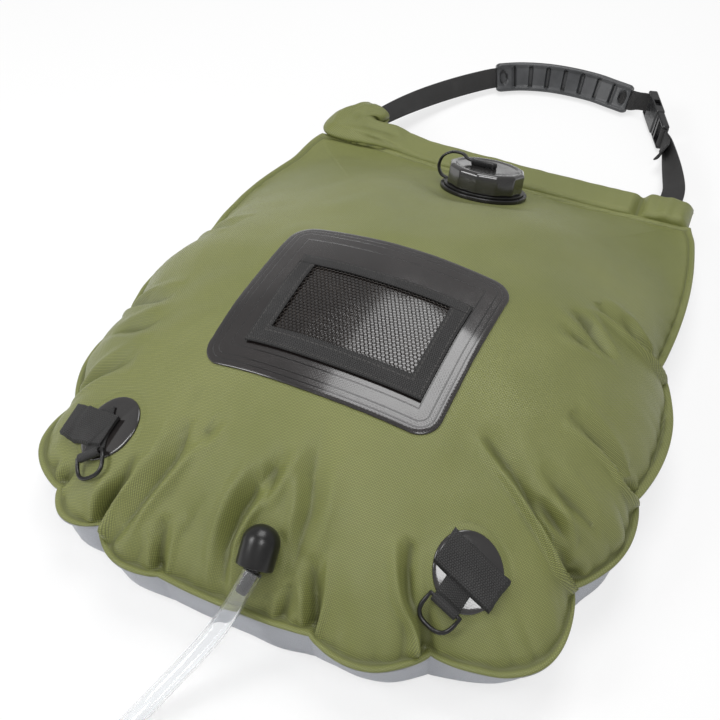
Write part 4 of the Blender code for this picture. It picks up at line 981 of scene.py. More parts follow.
def calm_mask(places):
    """1 on free cloth, falling to 0 by the welded fittings and the patch."""
    x, y = places[:, :, 0], places[:, :, 1]
    mask = np.ones(x.shape)
    for cx, cy, inner, fade in calm_spots:
        mask *= smoothstep((np.hypot(x - cx, y - cy) - inner) / fade)
    px, py, turn = patch_place
    c, s = polar(1.0, math.radians(turn))
    from_patch = (np.abs((x - px) * c + (y - py) * s) - patch_size[0] / 2,
                  np.abs((y - py) * c - (x - px) * s) - patch_size[1] / 2)
    inside = [1 - smoothstep(away / patch_fade) for away in from_patch]
    return mask * (1 - inside[0] * inside[1])


def grid_normals(places):
    """Normals of a joined grid of points, turned to face up and outwards."""
    around = np.roll(places, -1, axis=1) - np.roll(places, 1, axis=1)
    normal = np.cross(around, np.gradient(places, axis=0))
    normal /= np.maximum(np.linalg.norm(normal, axis=2, keepdims=True), 1e-12)
    if normal[-2, :, 2].mean() < 0:
        normal = -normal
    normal = roll_smooth(normal.transpose(1, 0, 2), 10).transpose(1, 0, 2)
    return normal / np.linalg.norm(normal, axis=2, keepdims=True)


def crumple(places, shares):
    """Presses creases, puckers and slow waves into the front cloth."""
    free = calm_mask(places)
    inside = shares[:, None]
    press = crease_press(places) * (0.25 + 0.75 * free) * smoothstep(inside / 0.01)
    pucker = 0.45 - 2.0 * np.abs(ring_noise(places.shape[1], 12.0, 3.0))
    pucker = pucker * (1 - 0.85 * seam_top_share) * pucker_depth
    press += pucker[None, :] * np.exp(-inside / pucker_reach_share) * smoothstep(inside / 0.012)
    press += soft_noise(places, wave_size, 5.0) * wave_depth * free * smoothstep(inside / 0.1)
    press += soft_noise(places, ripple_size, 9.0) * ripple_depth * free * smoothstep(inside / 0.03)
    return places - grid_normals(places) * press[:, :, None]


print("calm spots", len(calm_spots))


# %% Front panel
rim_groove = 0.0016
rim_wave = 0.0012


def unrolled_uv(stack):
    """UV in metres: plan direction from the middle, distance measured along the cloth."""
    lengths = [np.linalg.norm(stack[-1, :, :2] - crown_centre, axis=1)]
    for outer, before in zip(stack[::-1][1:], stack[::-1]):
        lengths.append(lengths[-1] + np.linalg.norm(outer - before, axis=1))
    lengths = np.array(lengths[::-1])
    angle = np.arctan2(stack[:, :, 1] - crown_centre[1], stack[:, :, 0] - crown_centre[0])
    return np.stack((lengths * np.cos(angle), lengths * np.sin(angle)), axis=2)


def make_front():
    # Height above the seam and reach past it of each ring of the rim, from its underside up
    rim_steps = ((-cloth_wall, 0.0), (-cloth_wall, flange_width), (-0.0003, flange_width),
                 (0.0002, flange_width - 0.0006), (0.0005, flange_width / 2), (0.0003, 0.0008))
    rim = np.array([flange_ring(front_seam + rise, reach) for rise, reach in rim_steps])
    shaped = crumple(front_rows, front_shares)
    from_rim = (front_shares[:, None] - rim_share[None, :] - 0.002) / 0.0032
    shaped[:, :, 2] -= rim_groove * np.exp(-from_rim ** 2)
    wobble = soft_noise(rim[2:3], 0.02, 2.0) * rim_wave * (1 - 0.8 * seam_top_share)
    rim[:, :, 2] += wobble
    shaped[:, :, 2] += wobble * np.exp(-front_shares[:, None] / 0.02)
    apex = np.tile(shaped[-1].mean(axis=0), (1, len(seam_line), 1))
    uv = unrolled_uv(np.concatenate((rim, front_rows, apex)))
    bm = grid_bmesh(top_bend(np.concatenate((rim, shaped, apex))), joined=True, uv=uv)
    return make_piece("front_cloth", face_up(bm), olive_cloth, "bag", "olive_fabric", "front_panel")


def store_hollows(thing, passes=24):
    """Keeps, for each point, how far it lies below the cloth around it: painted shade darkens it there."""
    mesh = thing.data
    count = len(mesh.vertices)
    places = np.empty(count * 3)
    normals = np.empty(count * 3)
    pairs = np.empty(len(mesh.edges) * 2, dtype=int)
    mesh.vertices.foreach_get("co", places)
    mesh.vertices.foreach_get("normal", normals)
    mesh.edges.foreach_get("vertices", pairs)
    places, normals = places.reshape(-1, 3), normals.reshape(-1, 3)
    first, second = pairs.reshape(-1, 2).T
    near = np.bincount(pairs, minlength=count)[:, None]
    smooth = places.copy()
    for _ in range(passes):
        total = np.column_stack([np.bincount(first, smooth[second, k], count)
                                 + np.bincount(second, smooth[first, k], count) for k in range(3)])
        smooth = (smooth + total / near) / 2
    depth = ((smooth - places) * normals).sum(axis=1)
    mesh.attributes.new("hollow", "FLOAT", "POINT").data.foreach_set("value", depth)
    return depth


front_cloth = make_front()
hollows = store_hollows(front_cloth)
tell(front_cloth)
print("deepest hollow %.4f" % hollows.max())


# %% Finding places on the front panel
cloth_bm = bmesh.new()
cloth_bm.from_mesh(front_cloth.data)
cloth_tree = BVHTree.FromBMesh(cloth_bm)
cloth_bm.free()


def cloth_height(x, y):
    """How high the cloth lies above a plan place."""
    hit = cloth_tree.ray_cast(Vector((x, y, 1.0)), Vector((0.0, 0.0, -1.0)))[0]
    return hit.z if hit else front_seam[0]


def on_bag(x, y, lift, feel=0.003):
    """A point a set distance off the front cloth."""
    slope_x = (cloth_height(x + feel, y) - cloth_height(x - feel, y)) / (2 * feel)
    slope_y = (cloth_height(x, y + feel) - cloth_height(x, y - feel)) / (2 * feel)
    normal = Vector((-slope_x, -slope_y, 1.0)).normalized()
    return Vector((x, y, cloth_height(x, y))) + normal * lift


print("height of the crown %.4f" % cloth_height(0.0, crown_y))

# %% [markdown]
# The back panel is the same outline in grey cloth. It hangs almost straight down from the seam
# and lies flat on the table. Where it turns under it is creased by the weight of the water.

# %% Back panel
base_shares = (0.0, 0.001, 0.002, 0.0035, 0.006, 0.01, 0.016, 0.024, 0.035)
base_heights = (1.0, 0.76, 0.55, 0.38, 0.24, 0.15, 0.065, 0.018, 0.0)
base_fold_depth = 0.0045


def make_back():
    rim_steps = ((cloth_wall, 0.0), (cloth_wall, flange_width), (0.0, flange_width - 0.0003),
                 (-0.0002, 0.0005))
    rim = [flange_ring(back_seam + rise, reach) for rise, reach in rim_steps]
    shares = np.concatenate((np.linspace(0.0008, 0.0364, 24), np.linspace(0.05, 0.97, 12)))
    heights = np.interp(shares, base_shares, base_heights)
    places = np.array([np.column_stack((plan_ring(share, hold=90), back_seam * height))
                       for share, height in zip(shares, heights)])
    fold = ring_noise(places.shape[1], 9.0, 7.0) * base_fold_depth
    outward = places - np.append(crown_centre, 0.0)
    outward[:, :, 2] = 0.0
    outward /= np.linalg.norm(outward, axis=2, keepdims=True)
    free = smoothstep(shares / 0.005) * (1 - smoothstep((shares - 0.02) / 0.02))
    places += outward * (fold[None, :] * free[:, None])[:, :, None]
    middle = np.tile(places[-1].mean(axis=0), (1, len(seam_line), 1))
    stack = np.concatenate((np.array(rim), places, middle))
    bm = face_up(grid_bmesh(top_bend(stack), joined=True, uv=unrolled_uv(stack)))
    bmesh.ops.reverse_faces(bm, faces=bm.faces)
    return make_piece("back_cloth", bm, grey_cloth, "bag", "grey_fabric", "back_panel")


back_cloth = make_back()
tell(back_cloth)

# %% [markdown]
# Along the top edge the front cloth is turned over into an open hem, and a length of webbing
# runs through it. Towards the right it is pinched flat by a weld. At the left the hem bunches up
# and turns rearwards round the webbing. That mouth is a piece of its own.

# %% Top sleeve
sleeve_half_length = 0.172
sleeve_width = 0.03
sleeve_height = 0.01
sleeve_z = 0.028
sleeve_y = bag_half_length * 0.935 + flange_width + fit_gap + sleeve_width / 2
# The sleeve's front half laps onto the panel by this share
sleeve_lap_share = 1.12
# Shares of the sleeve's half length with how far its height is swollen or pinched
sleeve_stations = ((-0.76, 1.2), (-0.62, 1.15), (-0.45, 1.0), (0.55, 1.0), (0.7, 1.05), (0.735, 0.42),
                   (0.77, 1.1), (0.88, 1.45), (0.96, 1.3), (0.99, 0.9), (1.0, 0.3))


def rounded_loop(width, height, radius, per_corner=8, per_side=10):
    """Points round a rounded rectangle, evenly enough for cloth."""
    corners = []
    for corner, (sx, sy) in enumerate(((1, 1), (-1, 1), (-1, -1), (1, -1))):
        cx = sx * (width / 2 - radius)
        cy = sy * (height / 2 - radius)
        arc = [polar(radius, math.pi / 2 * (corner + k / (per_corner - 1))) for k in range(per_corner)]
        corners.append([(cx + x, cy + y) for x, y in arc])
    points = []
    for here, following in zip(corners, corners[1:] + corners[:1]):
        (x, y), (end_x, end_y) = here[-1], following[0]
        points.extend(here)
        points.extend((x + (end_x - x) * k / per_side, y + (end_y - y) * k / per_side)
                      for k in range(1, per_side))
    return np.array(points)


def make_sleeve():
    shares = np.linspace(sleeve_stations[0][0], 1.0, 181)
    rises = np.interp(shares, *zip(*sleeve_stations))
    rises = np.convolve(np.pad(rises, 1, mode="edge"), (0.25, 0.5, 0.25), mode="valid")
    rows = []
    uv = []
    for share, rise in zip(shares, rises):
        height = sleeve_height * rise
        loop = rounded_loop(sleeve_width, height, min(sleeve_height, height) / 2 - fit_gap)
        x = np.full(len(loop), share * sleeve_half_length)
        y = sleeve_y + loop[:, 0] * np.where(loop[:, 0] < 0, sleeve_lap_share, 1.0)
        rows.append(np.column_stack((x, y, sleeve_z - sleeve_height / 2 + height / 2 + loop[:, 1])))
        uv.append(np.column_stack((x, loop[:, 0] + loop[:, 1])))
    places = np.array(rows)
    ends = smoothstep((np.abs(places[:, :, 0]) - 0.09) / 0.05)
    places[:, :, 2] += soft_noise(places * (1.0, 0.35, 1.0), 0.011, 4.0) * (0.0007 + 0.0016 * ends)
    places[:, :, 1] += soft_noise(places * (1.0, 0.2, 0.2), 0.03, 8.0) * 0.0018
    bm = outwards(grid_bmesh(top_bend(places), joined=True, uv=np.array(uv)))
    made = make_piece("hem_sleeve", bm, olive_cloth, "bag", "olive_fabric", "top_sleeve")
    return thicken(made, cloth_wall)


# %% Mouth of the hem
# Place of the middle, height of the floor, heading in degrees, half width and height
mouth_stations = (
    (-0.09, 0.2636, 0.0238, 180.0, 0.0142, 0.0088), (-0.103, 0.2646, 0.0232, 178.0, 0.0155, 0.0114),
    (-0.119, 0.2655, 0.0228, 174.0, 0.0168, 0.0145), (-0.14, 0.2665, 0.0222, 162.0, 0.019, 0.0175),
    (-0.156, 0.27, 0.0216, 130.0, 0.0262, 0.0195), (-0.156, 0.283, 0.0214, 95.0, 0.0232, 0.0208),
    (-0.149, 0.2955, 0.0214, 74.0, 0.0198, 0.02), (-0.1455, 0.303, 0.0214, 70.0, 0.017, 0.0175),
)
mouth_corner = 0.0095
# Depths of the folds along the mouth and of its soft crumple
mouth_fold_depth = 0.0036
mouth_crumple_depth = 0.0014


def make_mouth():
    rows = []
    uv = []
    run = 0.0
    before = None
    for x, y, low, heading, half, height in curve_through(mouth_stations, 0.0012):
        loop = rounded_loop(2 * half, height, min(mouth_corner, height / 2 - 0.0004))
        angle = math.radians(heading)
        across = Vector((math.sin(angle), -math.cos(angle), 0.0))
        here = Vector((x, y, low + height / 2))
        run += (here - before).length if before else 0.0
        before = here
        rows.append([tuple(here + across * a + Vector((0.0, 0.0, b))) for a, b in loop])
        uv.append([(run, a + b) for a, b in loop])
    places = np.array(rows)
    outward = places - places.mean(axis=1, keepdims=True)
    outward /= np.linalg.norm(outward, axis=2, keepdims=True)
    strength = smoothstep(np.linspace(0.0, 1.0, len(places)) / 0.2)[:, None]
    around = [polar(2.6, turn) for turn in np.linspace(0.0, 2 * math.pi, places.shape[1], endpoint=False)]
    lengthwise = np.array([[noise.noise(Vector((c, s, 22.0 * row[0][0]))) for c, s in around] for row in uv])
    folds = lengthwise * mouth_fold_depth + soft_noise(places, 0.012, 6.0) * mouth_crumple_depth
    places += outward * (folds * strength)[:, :, None]
    bm = outwards(grid_bmesh(places, joined=True, uv=np.array(uv)))
    made = thicken(make_piece("hem_mouth", bm, olive_cloth, None, "olive_fabric"), cloth_wall)
    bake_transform(made)
    return made


hem_sleeve = make_sleeve()
hem_mouth = make_mouth()
store_hollows(hem_sleeve, 8)
store_hollows(hem_mouth, 12)
tell(hem_sleeve, hem_mouth)

# %% [markdown]
# ## Webbing
# All straps are the same 20 mm webbing. A strap is drawn as a line of places with a direction
# across it, and a thin rounded section is carried along the line.

# %% Strap helper
strap_width = 0.02
strap_thickness = 0.0015
strap_step = 0.0025


def strap_bmesh(route, width=strap_width, thickness=strap_thickness, edge_points=5):
    """A flat band with rounded edges along (place, across) pairs; UV in metres along and across."""
    radius = thickness / 2
    section = []
    for side in (1, -1):
        for k in range(edge_points):
            angle = side * math.pi / 2 - math.pi * k / (edge_points - 1)
            a, b = polar(radius, angle)
            section.append((side * (width / 2 - radius) + a, b))
    section = np.array(section)
    rows = []
    for k, (place, across) in enumerate(route):
        heading = (route[min(k + 1, len(route) - 1)][0] - route[max(k - 1, 0)][0]).normalized()
        normal = heading.cross(across).normalized()
        rows.append([tuple(place + across * a + normal * b) for a, b in section])
    run = np.concatenate(([0.0], np.cumsum([(b[0] - a[0]).length for a, b in zip(route, route[1:])])))
    u = np.repeat(run[:, None], len(section) + 1, axis=1)
    v = np.repeat(np.append(section[:, 0], section[0, 0])[None, :], len(run), axis=0)
    return close_ends(grid_bmesh(np.array(rows), joined=True, uv=np.stack((u, v), axis=2)))


def strap_piece(name, bm, body, stands_for, material=black_webbing, sharp_angle=60.0):
    return make_piece(name, bm, material, body, "webbing", stands_for, sharp_angle=sharp_angle)


def finer(route, step):
    rows = curve_through([(*place, *across) for place, across in route], step)
    return [(Vector(row[:3]), Vector(row[3:]).normalized()) for row in rows]


print("strap helper ready")

# %% [markdown]
# The handle is one loop of webbing. Its left side leaves the hem flat, twists up on edge, runs
# through the grip and ends round the buckle's bar. The stations are shares of the loop's size,
# with the lean of the webbing from upright, just as they are in the model.

# %% Handle route
loop_half_width = 0.15
loop_reach = 0.186
loop_rest_height = 0.0155
strap_line_y = sleeve_y + strap_width / 2
strap_line_z = sleeve_z - sleeve_height / 2 + cloth_wall + fit_gap + strap_thickness / 2
left_shares = (
    (-1.0, 0.0, 0.0, 90.0), (-1.0, 0.055, 0.02, 90.0), (-0.96, 0.16, 0.1, 78.0),
    (-0.88, 0.33, 0.34, 62.0), (-0.785, 0.495, 0.64, 48.0), (-0.67, 0.648, 0.86, 38.0),
    (-0.54, 0.783, 0.97, 30.0),
)
grip_shares = (
    (-0.413, 0.884, 1.0, 28.0), (-0.267, 0.948, 1.0, 28.0), (-0.1, 0.988, 1.0, 28.0),
    (0.067, 1.0, 1.0, 28.0), (0.247, 0.99, 1.0, 28.0), (0.39, 0.96, 1.0, 28.0),
    (0.51, 0.934, 1.0, 28.0),
)
right_shares = (
    (0.86, 0.55, 0.97, 16.0), (0.905, 0.432, 0.86, 34.0), (0.95, 0.3, 0.62, 54.0),
    (0.988, 0.165, 0.28, 74.0), (1.0, 0.08, 0.05, 90.0), (1.0, 0.0, 0.0, 90.0),
)
bar_radius = 0.0018
bar_lead = 0.0075
bar_twist = 0.011
socket_length = 0.036
tongue_length = 0.027
buckle_heading = math.radians(-67.6)
buckle_lean = 6.0
buckle_x_share = 0.655
buckle_y_share = 0.943


def loop_stations(shares):
    drop = strap_line_z - loop_rest_height
    return [(x * loop_half_width, strap_line_y + y * loop_reach, strap_line_z - z * drop, lean)
            for x, y, z, lean in shares]


def upright(heading, lean):
    """The direction that leans outwards from upright by some degrees, for a heading in plan."""
    outward = Vector((-heading.y, heading.x, 0.0)).normalized()
    rise, away = polar(1.0, math.radians(lean))
    return Vector((0.0, 0.0, rise)) + outward * away


def leaning_route(stations, step, end_axis=None):
    """Places and across directions of webbing that leans outwards from upright."""
    rows = curve_through(stations, step)
    last = Vector(rows[-1][:3])
    route = []
    for k, row in enumerate(rows):
        heading = Vector((rows[min(k + 1, len(rows) - 1)] - rows[max(k - 1, 0)])[:3]).normalized()
        across = upright(heading, row[3])
        across = (across - heading * across.dot(heading)).normalized()
        if end_axis:
            share = float(smoothstep(((Vector(row[:3]) - last).length - bar_lead) / bar_twist))
            across = end_axis.lerp(across, share).normalized()
        route.append((Vector(row[:3]), across))
    return route


def bar_stations(bar, axis, neighbour, lean):
    approach = Vector(neighbour[:3]) - bar
    approach = (approach - axis * approach.dot(axis)).normalized()
    end = bar + approach * (bar_radius + fit_gap + strap_thickness / 2)
    near = bar + approach * bar_lead
    return (*near, lean), (*end, lean)


def make_buckle_frame():
    x_axis = Vector((*polar(1.0, buckle_heading), 0.0))
    origin = (buckle_x_share * loop_half_width, strap_line_y + buckle_y_share * loop_reach, loop_rest_height)
    return frame_from(origin, x_axis, upright(x_axis, buckle_lean))


buckle_frame = make_buckle_frame()
buckle_axis = buckle_frame.col[2].to_3d()
left_stations = loop_stations(left_shares + grip_shares)
left_stations.extend(bar_stations(buckle_frame.translation, buckle_axis, left_stations[-1], buckle_lean))
print("buckle at", [round(v, 4) for v in buckle_frame.translation])


# %% Handle webbing
def loop_round_bar(frame_of_bar):
    """The turn of webbing that goes round a bar along the frame's Z."""
    radius = bar_radius + fit_gap + strap_thickness / 2
    route = []
    for angle in np.linspace(0.0, 2 * math.pi, 33):
        route.append((frame_of_bar @ Vector((*polar(radius, angle), 0.0)), frame_of_bar.col[2].to_3d()))
    return strap_bmesh(route)


def join_bmesh(first, second):
    """Adds the second bmesh to the first, and frees the second."""
    mesh = bpy.data.meshes.new("join")
    second.to_mesh(mesh)
    second.free()
    first.from_mesh(mesh)
    bpy.data.meshes.remove(mesh)
    return first


handle_bm = strap_bmesh(leaning_route(left_stations, strap_step, buckle_axis))
join_bmesh(handle_bm, loop_round_bar(buckle_frame))
handle_strap = strap_piece("handle_strap", handle_bm, "handle", "handle_webbing")
tell(handle_strap)


# %% Short webbing and its tail
tail_length = 0.026
tail_step = 0.009


def make_short_straps():
    bar = buckle_frame @ Vector((socket_length + tongue_length - bar_radius, 0.0, 0.0))
    stations = loop_stations(right_shares)
    near, start = bar_stations(bar, buckle_axis, stations[0], buckle_lean)
    stations = [start, near] + stations
    bm = strap_bmesh(leaning_route(stations, strap_step))
    join_bmesh(bm, loop_round_bar(Matrix.Translation(bar - buckle_frame.translation) @ buckle_frame))
    short = strap_piece("short_strap", bm, None, "short_webbing")
    coarse = leaning_route(stations, tail_step)
    tail = []
    for along in np.linspace(0.0, 1.0, 13):
        low = int(along * tail_length / tail_step)
        share = along * tail_length / tail_step - low
        (first, first_across), (second, second_across) = coarse[low + 1:low + 3]
        across = first_across.lerp(second_across, share).normalized()
        inward = across.cross((second - first).normalized()).normalized()
        if inward.x > 0:
            inward = -inward
        away = strap_thickness + 3 * fit_gap + tail_length / 2 * max(0.0, along - 0.25) ** 1.5
        tail.append((first.lerp(second, share) + inward * away, across))
    return short, strap_piece("strap_tail", strap_bmesh(tail), "buckle_tongue", "webbing_tail")


short_strap, strap_tail = make_short_straps()
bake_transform(short_strap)
tell(short_strap, strap_tail)


# %% Webbing inside the hem
hem_leg_length = 0.024


def make_hem_webbing():
    """Webbing along the hem, with a leg at each end that leads out to the handle."""
    rear = strap_line_y - strap_thickness / 2 - fit_gap / 2
    along = np.linspace(-loop_half_width, loop_half_width, 80)
    line = [(x, rear - strap_width / 2, strap_line_z) for x in along]
    bm = strap_bmesh([(Vector(place), Vector((0.0, 1.0, 0.0))) for place in top_bend(np.array(line))])
    for side in (-1, 1):
        leg = [(Vector((side * loop_half_width, y, strap_line_z)), Vector((1.0, 0.0, 0.0)))
               for y in np.linspace(rear - hem_leg_length, rear, 10)]
        join_bmesh(bm, strap_bmesh(leg))
    return strap_piece("hem_webbing", bm, "bag", "sleeve_webbing")


hem_webbing = make_hem_webbing()
tell(hem_webbing)

# %% [markdown]
# The grip is a moulded sleeve that slides on the webbing. A raised rim runs along both edges,
# and between the rims seven slots give the fingers hold. Its skin is one fine grid round the
# webbing's route, pressed in wherever a slot is.

# %% Grip
grip_width = 0.029
grip_thickness = 0.009
grip_corner = 0.003
grip_step = 0.0008
grip_slots = 7
slot_half_width = 0.0015
slot_wall = 0.001
slot_depth = 0.0029
end_slot_share = 0.4
panel_depth = 0.0008
panel_edge_share = 0.66
panel_fade_share = 0.1
# An oval dimple at each end of the grip: how far in, its half length and half width
dimple_place = 0.0068
dimple_half_length = 0.0044
dimple_half_width = 0.0078
dimple_edge_share = 0.82
dimple_fade_share = 0.2
end_round = 0.004
end_round_share = 0.12


def grip_depth(a, slot, from_end):
    """How far the grip's front is pressed in, a metres from its middle line."""
    inner = 1 - float(smoothstep((abs(a) / (grip_width / 2) - panel_edge_share) / panel_fade_share))
    reach = math.hypot((from_end - dimple_place) / dimple_half_length, a / dimple_half_width)
    dimple = 1 - float(smoothstep((reach - dimple_edge_share) / dimple_fade_share))
    return inner * panel_depth + slot_depth * max(inner * slot, dimple)


def make_grip():
    route = leaning_route(loop_stations(grip_shares), grip_step)
    last = len(route) - 1
    loop = rounded_loop(grip_width, grip_thickness, grip_corner, per_corner=6, per_side=20)
    rows = []
    for k, (place, across) in enumerate(route):
        heading = (route[min(k + 1, last)][0] - route[max(k - 1, 0)][0]).normalized()
        outward = heading.cross(across).normalized()
        if outward.y > 0:
            outward = -outward
        slot_place = k / last * (grip_slots + 1)
        nearest = min(max(round(slot_place), 1), grip_slots)
        from_slot = abs(slot_place - nearest) / (grip_slots + 1) * last * grip_step
        slot = 1 - float(smoothstep((from_slot - slot_half_width) / slot_wall))
        if not 1 <= slot_place <= grip_slots:
            slot *= end_slot_share
        from_end = min(k, last - k) * grip_step
        size = 1 - end_round_share * (1 - min(1.0, from_end / end_round)) ** 2
        row = []
        for a, b in loop:
            depth = grip_depth(a, slot, from_end) if b > grip_thickness / 4 else 0.0
            row.append(tuple(place + across * (a * size) + outward * (b * size - depth)))
        rows.append(row)
    bm = close_ends(grid_bmesh(np.array(rows), joined=True))
    return make_piece("hand_grip", bm, grip_plastic, "handle", "grip_rubber", "grip", sharp_angle=50.0)


hand_grip = make_grip()
store_hollows(hand_grip, 10)
tell(hand_grip)

# %% [markdown]
# ## Filler
# The filler neck is welded in through its base flange. The cap is twelve-sided, so wet fingers
# can turn it, and a flexible strap holds it to the neck when it is off.

# %% Turned pieces
filler_axis = Vector((0.0, math.sin(filler_tilt), math.cos(filler_tilt)))
filler_frame = frame_from((0.0, filler_y, filler_height), (1.0, 0.0, 0.0), filler_axis)
turn_merge = 0.000002


def spun_bmesh(profile, sides, closed):
    """Spins a profile of (radius, z) points about Z; a closed one joins its last point to its first."""
    bm = bmesh.new()
    corners = [bm.verts.new((radius, 0.0, z)) for radius, z in profile]
    following = corners[1:] + (corners[:1] if closed else [])
    edges = [bm.edges.new(pair) for pair in zip(corners, following)]
    bmesh.ops.spin(bm, geom=corners + edges, cent=(0, 0, 0), axis=(0, 0, 1), angle=2 * math.pi,
                   steps=sides, use_merge=True)
    bmesh.ops.remove_doubles(bm, verts=bm.verts, dist=turn_merge)
    return bm


def moved(bm, place):
    bmesh.ops.transform(bm, matrix=place, verts=bm.verts)
    return bm


def turned_bmesh(profile, sides, place):
    """A closed profile spun about the Z of a frame."""
    return moved(outwards(spun_bmesh(profile, sides, closed=True)), place)


def round_profile(corners, radius, steps=4):
    most_of_side = 0.45
    made = []
    for k, corner in enumerate(corners):
        here = Vector((*corner, 0.0))
        before = Vector((*corners[k - 1], 0.0))
        after = Vector((*corners[(k + 1) % len(corners)], 0.0))
        cut = min(radius, (before - here).length * most_of_side, (after - here).length * most_of_side)
        start = here + (before - here).normalized() * cut
        end = here + (after - here).normalized() * cut
        for t in np.linspace(0.0, 1.0, steps + 1).tolist():
            point = start * (1 - t) ** 2 + here * 2 * t * (1 - t) + end * t ** 2
            made.append((point.x, point.y))
    return made


def ring_profile(outer, inner, low, high, corner):
    return round_profile(((outer, high), (outer, low), (inner, low), (inner, high)), corner)


print("turning helpers ready")


# %% Filler neck
neck_radius = 0.026
neck_wall = 0.0025
neck_top = 0.016
neck_foot = -0.004
neck_edge = 0.0005
flange_radius = 0.0375
flange_top = 0.0035
flange_edge = 0.0009
flange_lap = 0.0002
thread_start = 0.0075
thread_pitch = 0.004
thread_turns = 1.5
thread_radius = 0.0009


def thread_point(turn):
    height = thread_start + thread_pitch * turn
    return tuple(filler_frame @ Vector((*polar(neck_radius, 2 * math.pi * turn), height)))


neck_profile = ring_profile(neck_radius, neck_radius - neck_wall, neck_foot, neck_top, neck_edge)
neck_bm = turned_bmesh(neck_profile, 96, filler_frame)
flange_inner = neck_radius + flange_lap
flange_corners = ((flange_radius, flange_top), (flange_radius, 0.0), (flange_inner, -flange_lap),
                  (flange_inner, flange_top))
join_bmesh(neck_bm, turned_bmesh(round_profile(flange_corners, flange_edge), 128, filler_frame))
thread_line = [thread_point(turn) for turn in np.linspace(0.0, thread_turns, 90)]
join_bmesh(neck_bm, tube_bmesh(thread_line, thread_radius, sides=8))
neck_piece = make_piece("neck_and_flange", neck_bm, black_plastic, "bag", "black_plastic", "filler_neck",
                        sharp_angle=35.0)
tell(neck_piece)

# %% Filler cap
cap_low = 0.0055
cap_high = 0.0225
cap_radius = 0.033
cap_facets = 12
cap_inner = 0.0272
cap_ceiling = 0.0192
cap_dish = 0.0218
# Radius and height of each ring, and how far it is twelve-sided
cap_profile = (
    (0.0235, cap_ceiling, 0.0), (cap_inner, cap_ceiling, 0.0), (cap_inner, 0.0058, 0.0),
    (0.0276, cap_low, 0.0), (0.032, cap_low, 0.5), (0.0329, 0.0061, 0.9),
    (cap_radius, 0.007, 1.0), (cap_radius, 0.0195, 1.0), (0.0327, 0.0209, 1.0),
    (0.0318, 0.0219, 0.9), (0.0303, cap_high, 0.7), (0.0285, 0.02255, 0.4), (0.027, 0.0224, 0.1),
    (0.0262, 0.022, 0.0), (0.024, cap_dish, 0.0), (0.015, cap_dish, 0.0), (0.005, cap_dish, 0.0),
)


def make_cap():
    """A twelve-sided skin: each ring is a polygon that turns into a circle near the edges."""
    facet_angle = 2 * math.pi / cap_facets
    angles = np.linspace(0, 2 * math.pi, cap_facets * 12, endpoint=False)
    flat = math.cos(facet_angle / 2) / np.cos(angles % facet_angle - facet_angle / 2)
    rows = []
    for radius, z, facet in cap_profile:
        reach = radius * (1 + (flat - 1) * facet)
        rows.append(np.column_stack((reach * np.cos(angles), reach * np.sin(angles), np.full_like(reach, z))))
    bm = moved(close_ends(grid_bmesh(np.array(rows), joined=True)), filler_frame)
    return make_piece("screw_cap", bm, cap_plastic, "cap", "black_plastic", "filler_cap", sharp_angle=40.0)


screw_cap = make_cap()
gasket_profile = ring_profile(0.0262, 0.0217, 0.0174, 0.0189, 0.0004)
gasket = make_piece("sealing_ring", turned_bmesh(gasket_profile, 72, filler_frame), gasket_rubber, "cap",
                    "soft_rubber", "cap_gasket", sharp_angle=40.0)
tell(screw_cap, gasket)


# %% Tether and button
tether_reach = 0.0347
tether_bore = 0.0272
tether_low = 0.0038
tether_thickness = 0.0014
tether_edge = 0.0004
tether_strap_width = 0.005
tether_strap_thickness = 0.0022
button_low = cap_high + fit_gap
# Places of the strap's middle line in the filler's own X and Z, from the ring to the cap's top
tether_stations = (
    (-0.0333, 0.0049), (-0.0393, 0.0073), (-0.0425, 0.014), (-0.0406, 0.0225), (-0.033, 0.0281),
    (-0.0235, 0.0286), (-0.0188, 0.0257), (-0.0143, button_low + 0.0018),
)
button_half = 0.004
button_back = -0.014
button_front = 0.008
# Inset and rise of each ring of the button's skin
button_rings = ((0.0004, -0.0008), (0.0, 0.0004), (0.0, 0.0028), (0.0005, 0.0034), (0.0014, 0.0036))


def make_tether():
    profile = ring_profile(tether_reach, tether_bore, tether_low, tether_low + tether_thickness, tether_edge)
    ring = turned_bmesh(profile, 96, filler_frame)
    across = Vector((0.0, math.cos(filler_tilt), -math.sin(filler_tilt)))
    line = curve_through([(x, 0.0, z) for x, z in tether_stations], 0.001)
    route = [(filler_frame @ Vector((x, 0.0, z)), across) for x, _, z in line]
    join_bmesh(ring, strap_bmesh(route, tether_strap_width, tether_strap_thickness, edge_points=7))
    return make_piece("cap_strap", ring, soft_rubber, None, "soft_rubber", "cap_tether", sharp_angle=45.0)


def make_button():
    outline = [(button_back, -button_half), (button_back, button_half)]
    for angle in np.linspace(math.pi / 2, -math.pi / 2, 17):
        x, y = polar(button_half, angle)
        outline.append((button_front - button_half + x, y))
    centre = np.array([(button_back + button_front) / 2, 0.0])
    spokes = np.array(outline) - centre
    reach = np.maximum(np.linalg.norm(spokes, axis=1), 0.003)[:, None]
    rows = []
    for inset, rise in button_rings:
        ring = centre + spokes * (1 - inset / reach)
        rows.append(np.column_stack((ring, np.full(len(ring), button_low + rise))))
    bm = moved(close_ends(grid_bmesh(np.array(rows), joined=True)), filler_frame)
    return make_piece("cap_button", bm, soft_rubber, "cap_carrier", "soft_rubber", "tether_button",
                      sharp_angle=45.0)


cap_strap = make_tether()
cap_button = make_button()
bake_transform(cap_strap)
tell(cap_strap, cap_button)

# %% [markdown]
# ## Pieces laid on the cloth
# The pocket and the D-ring fittings are thin layers welded or sewn on the swollen panel. Each
# is drawn flat, in its own place and turn, and its points are dropped onto the cloth and lifted
# by the height of its layer.

# %% Laid pieces
# How far a welded plate's rim reaches down into the cloth
plate_sink = -0.0004


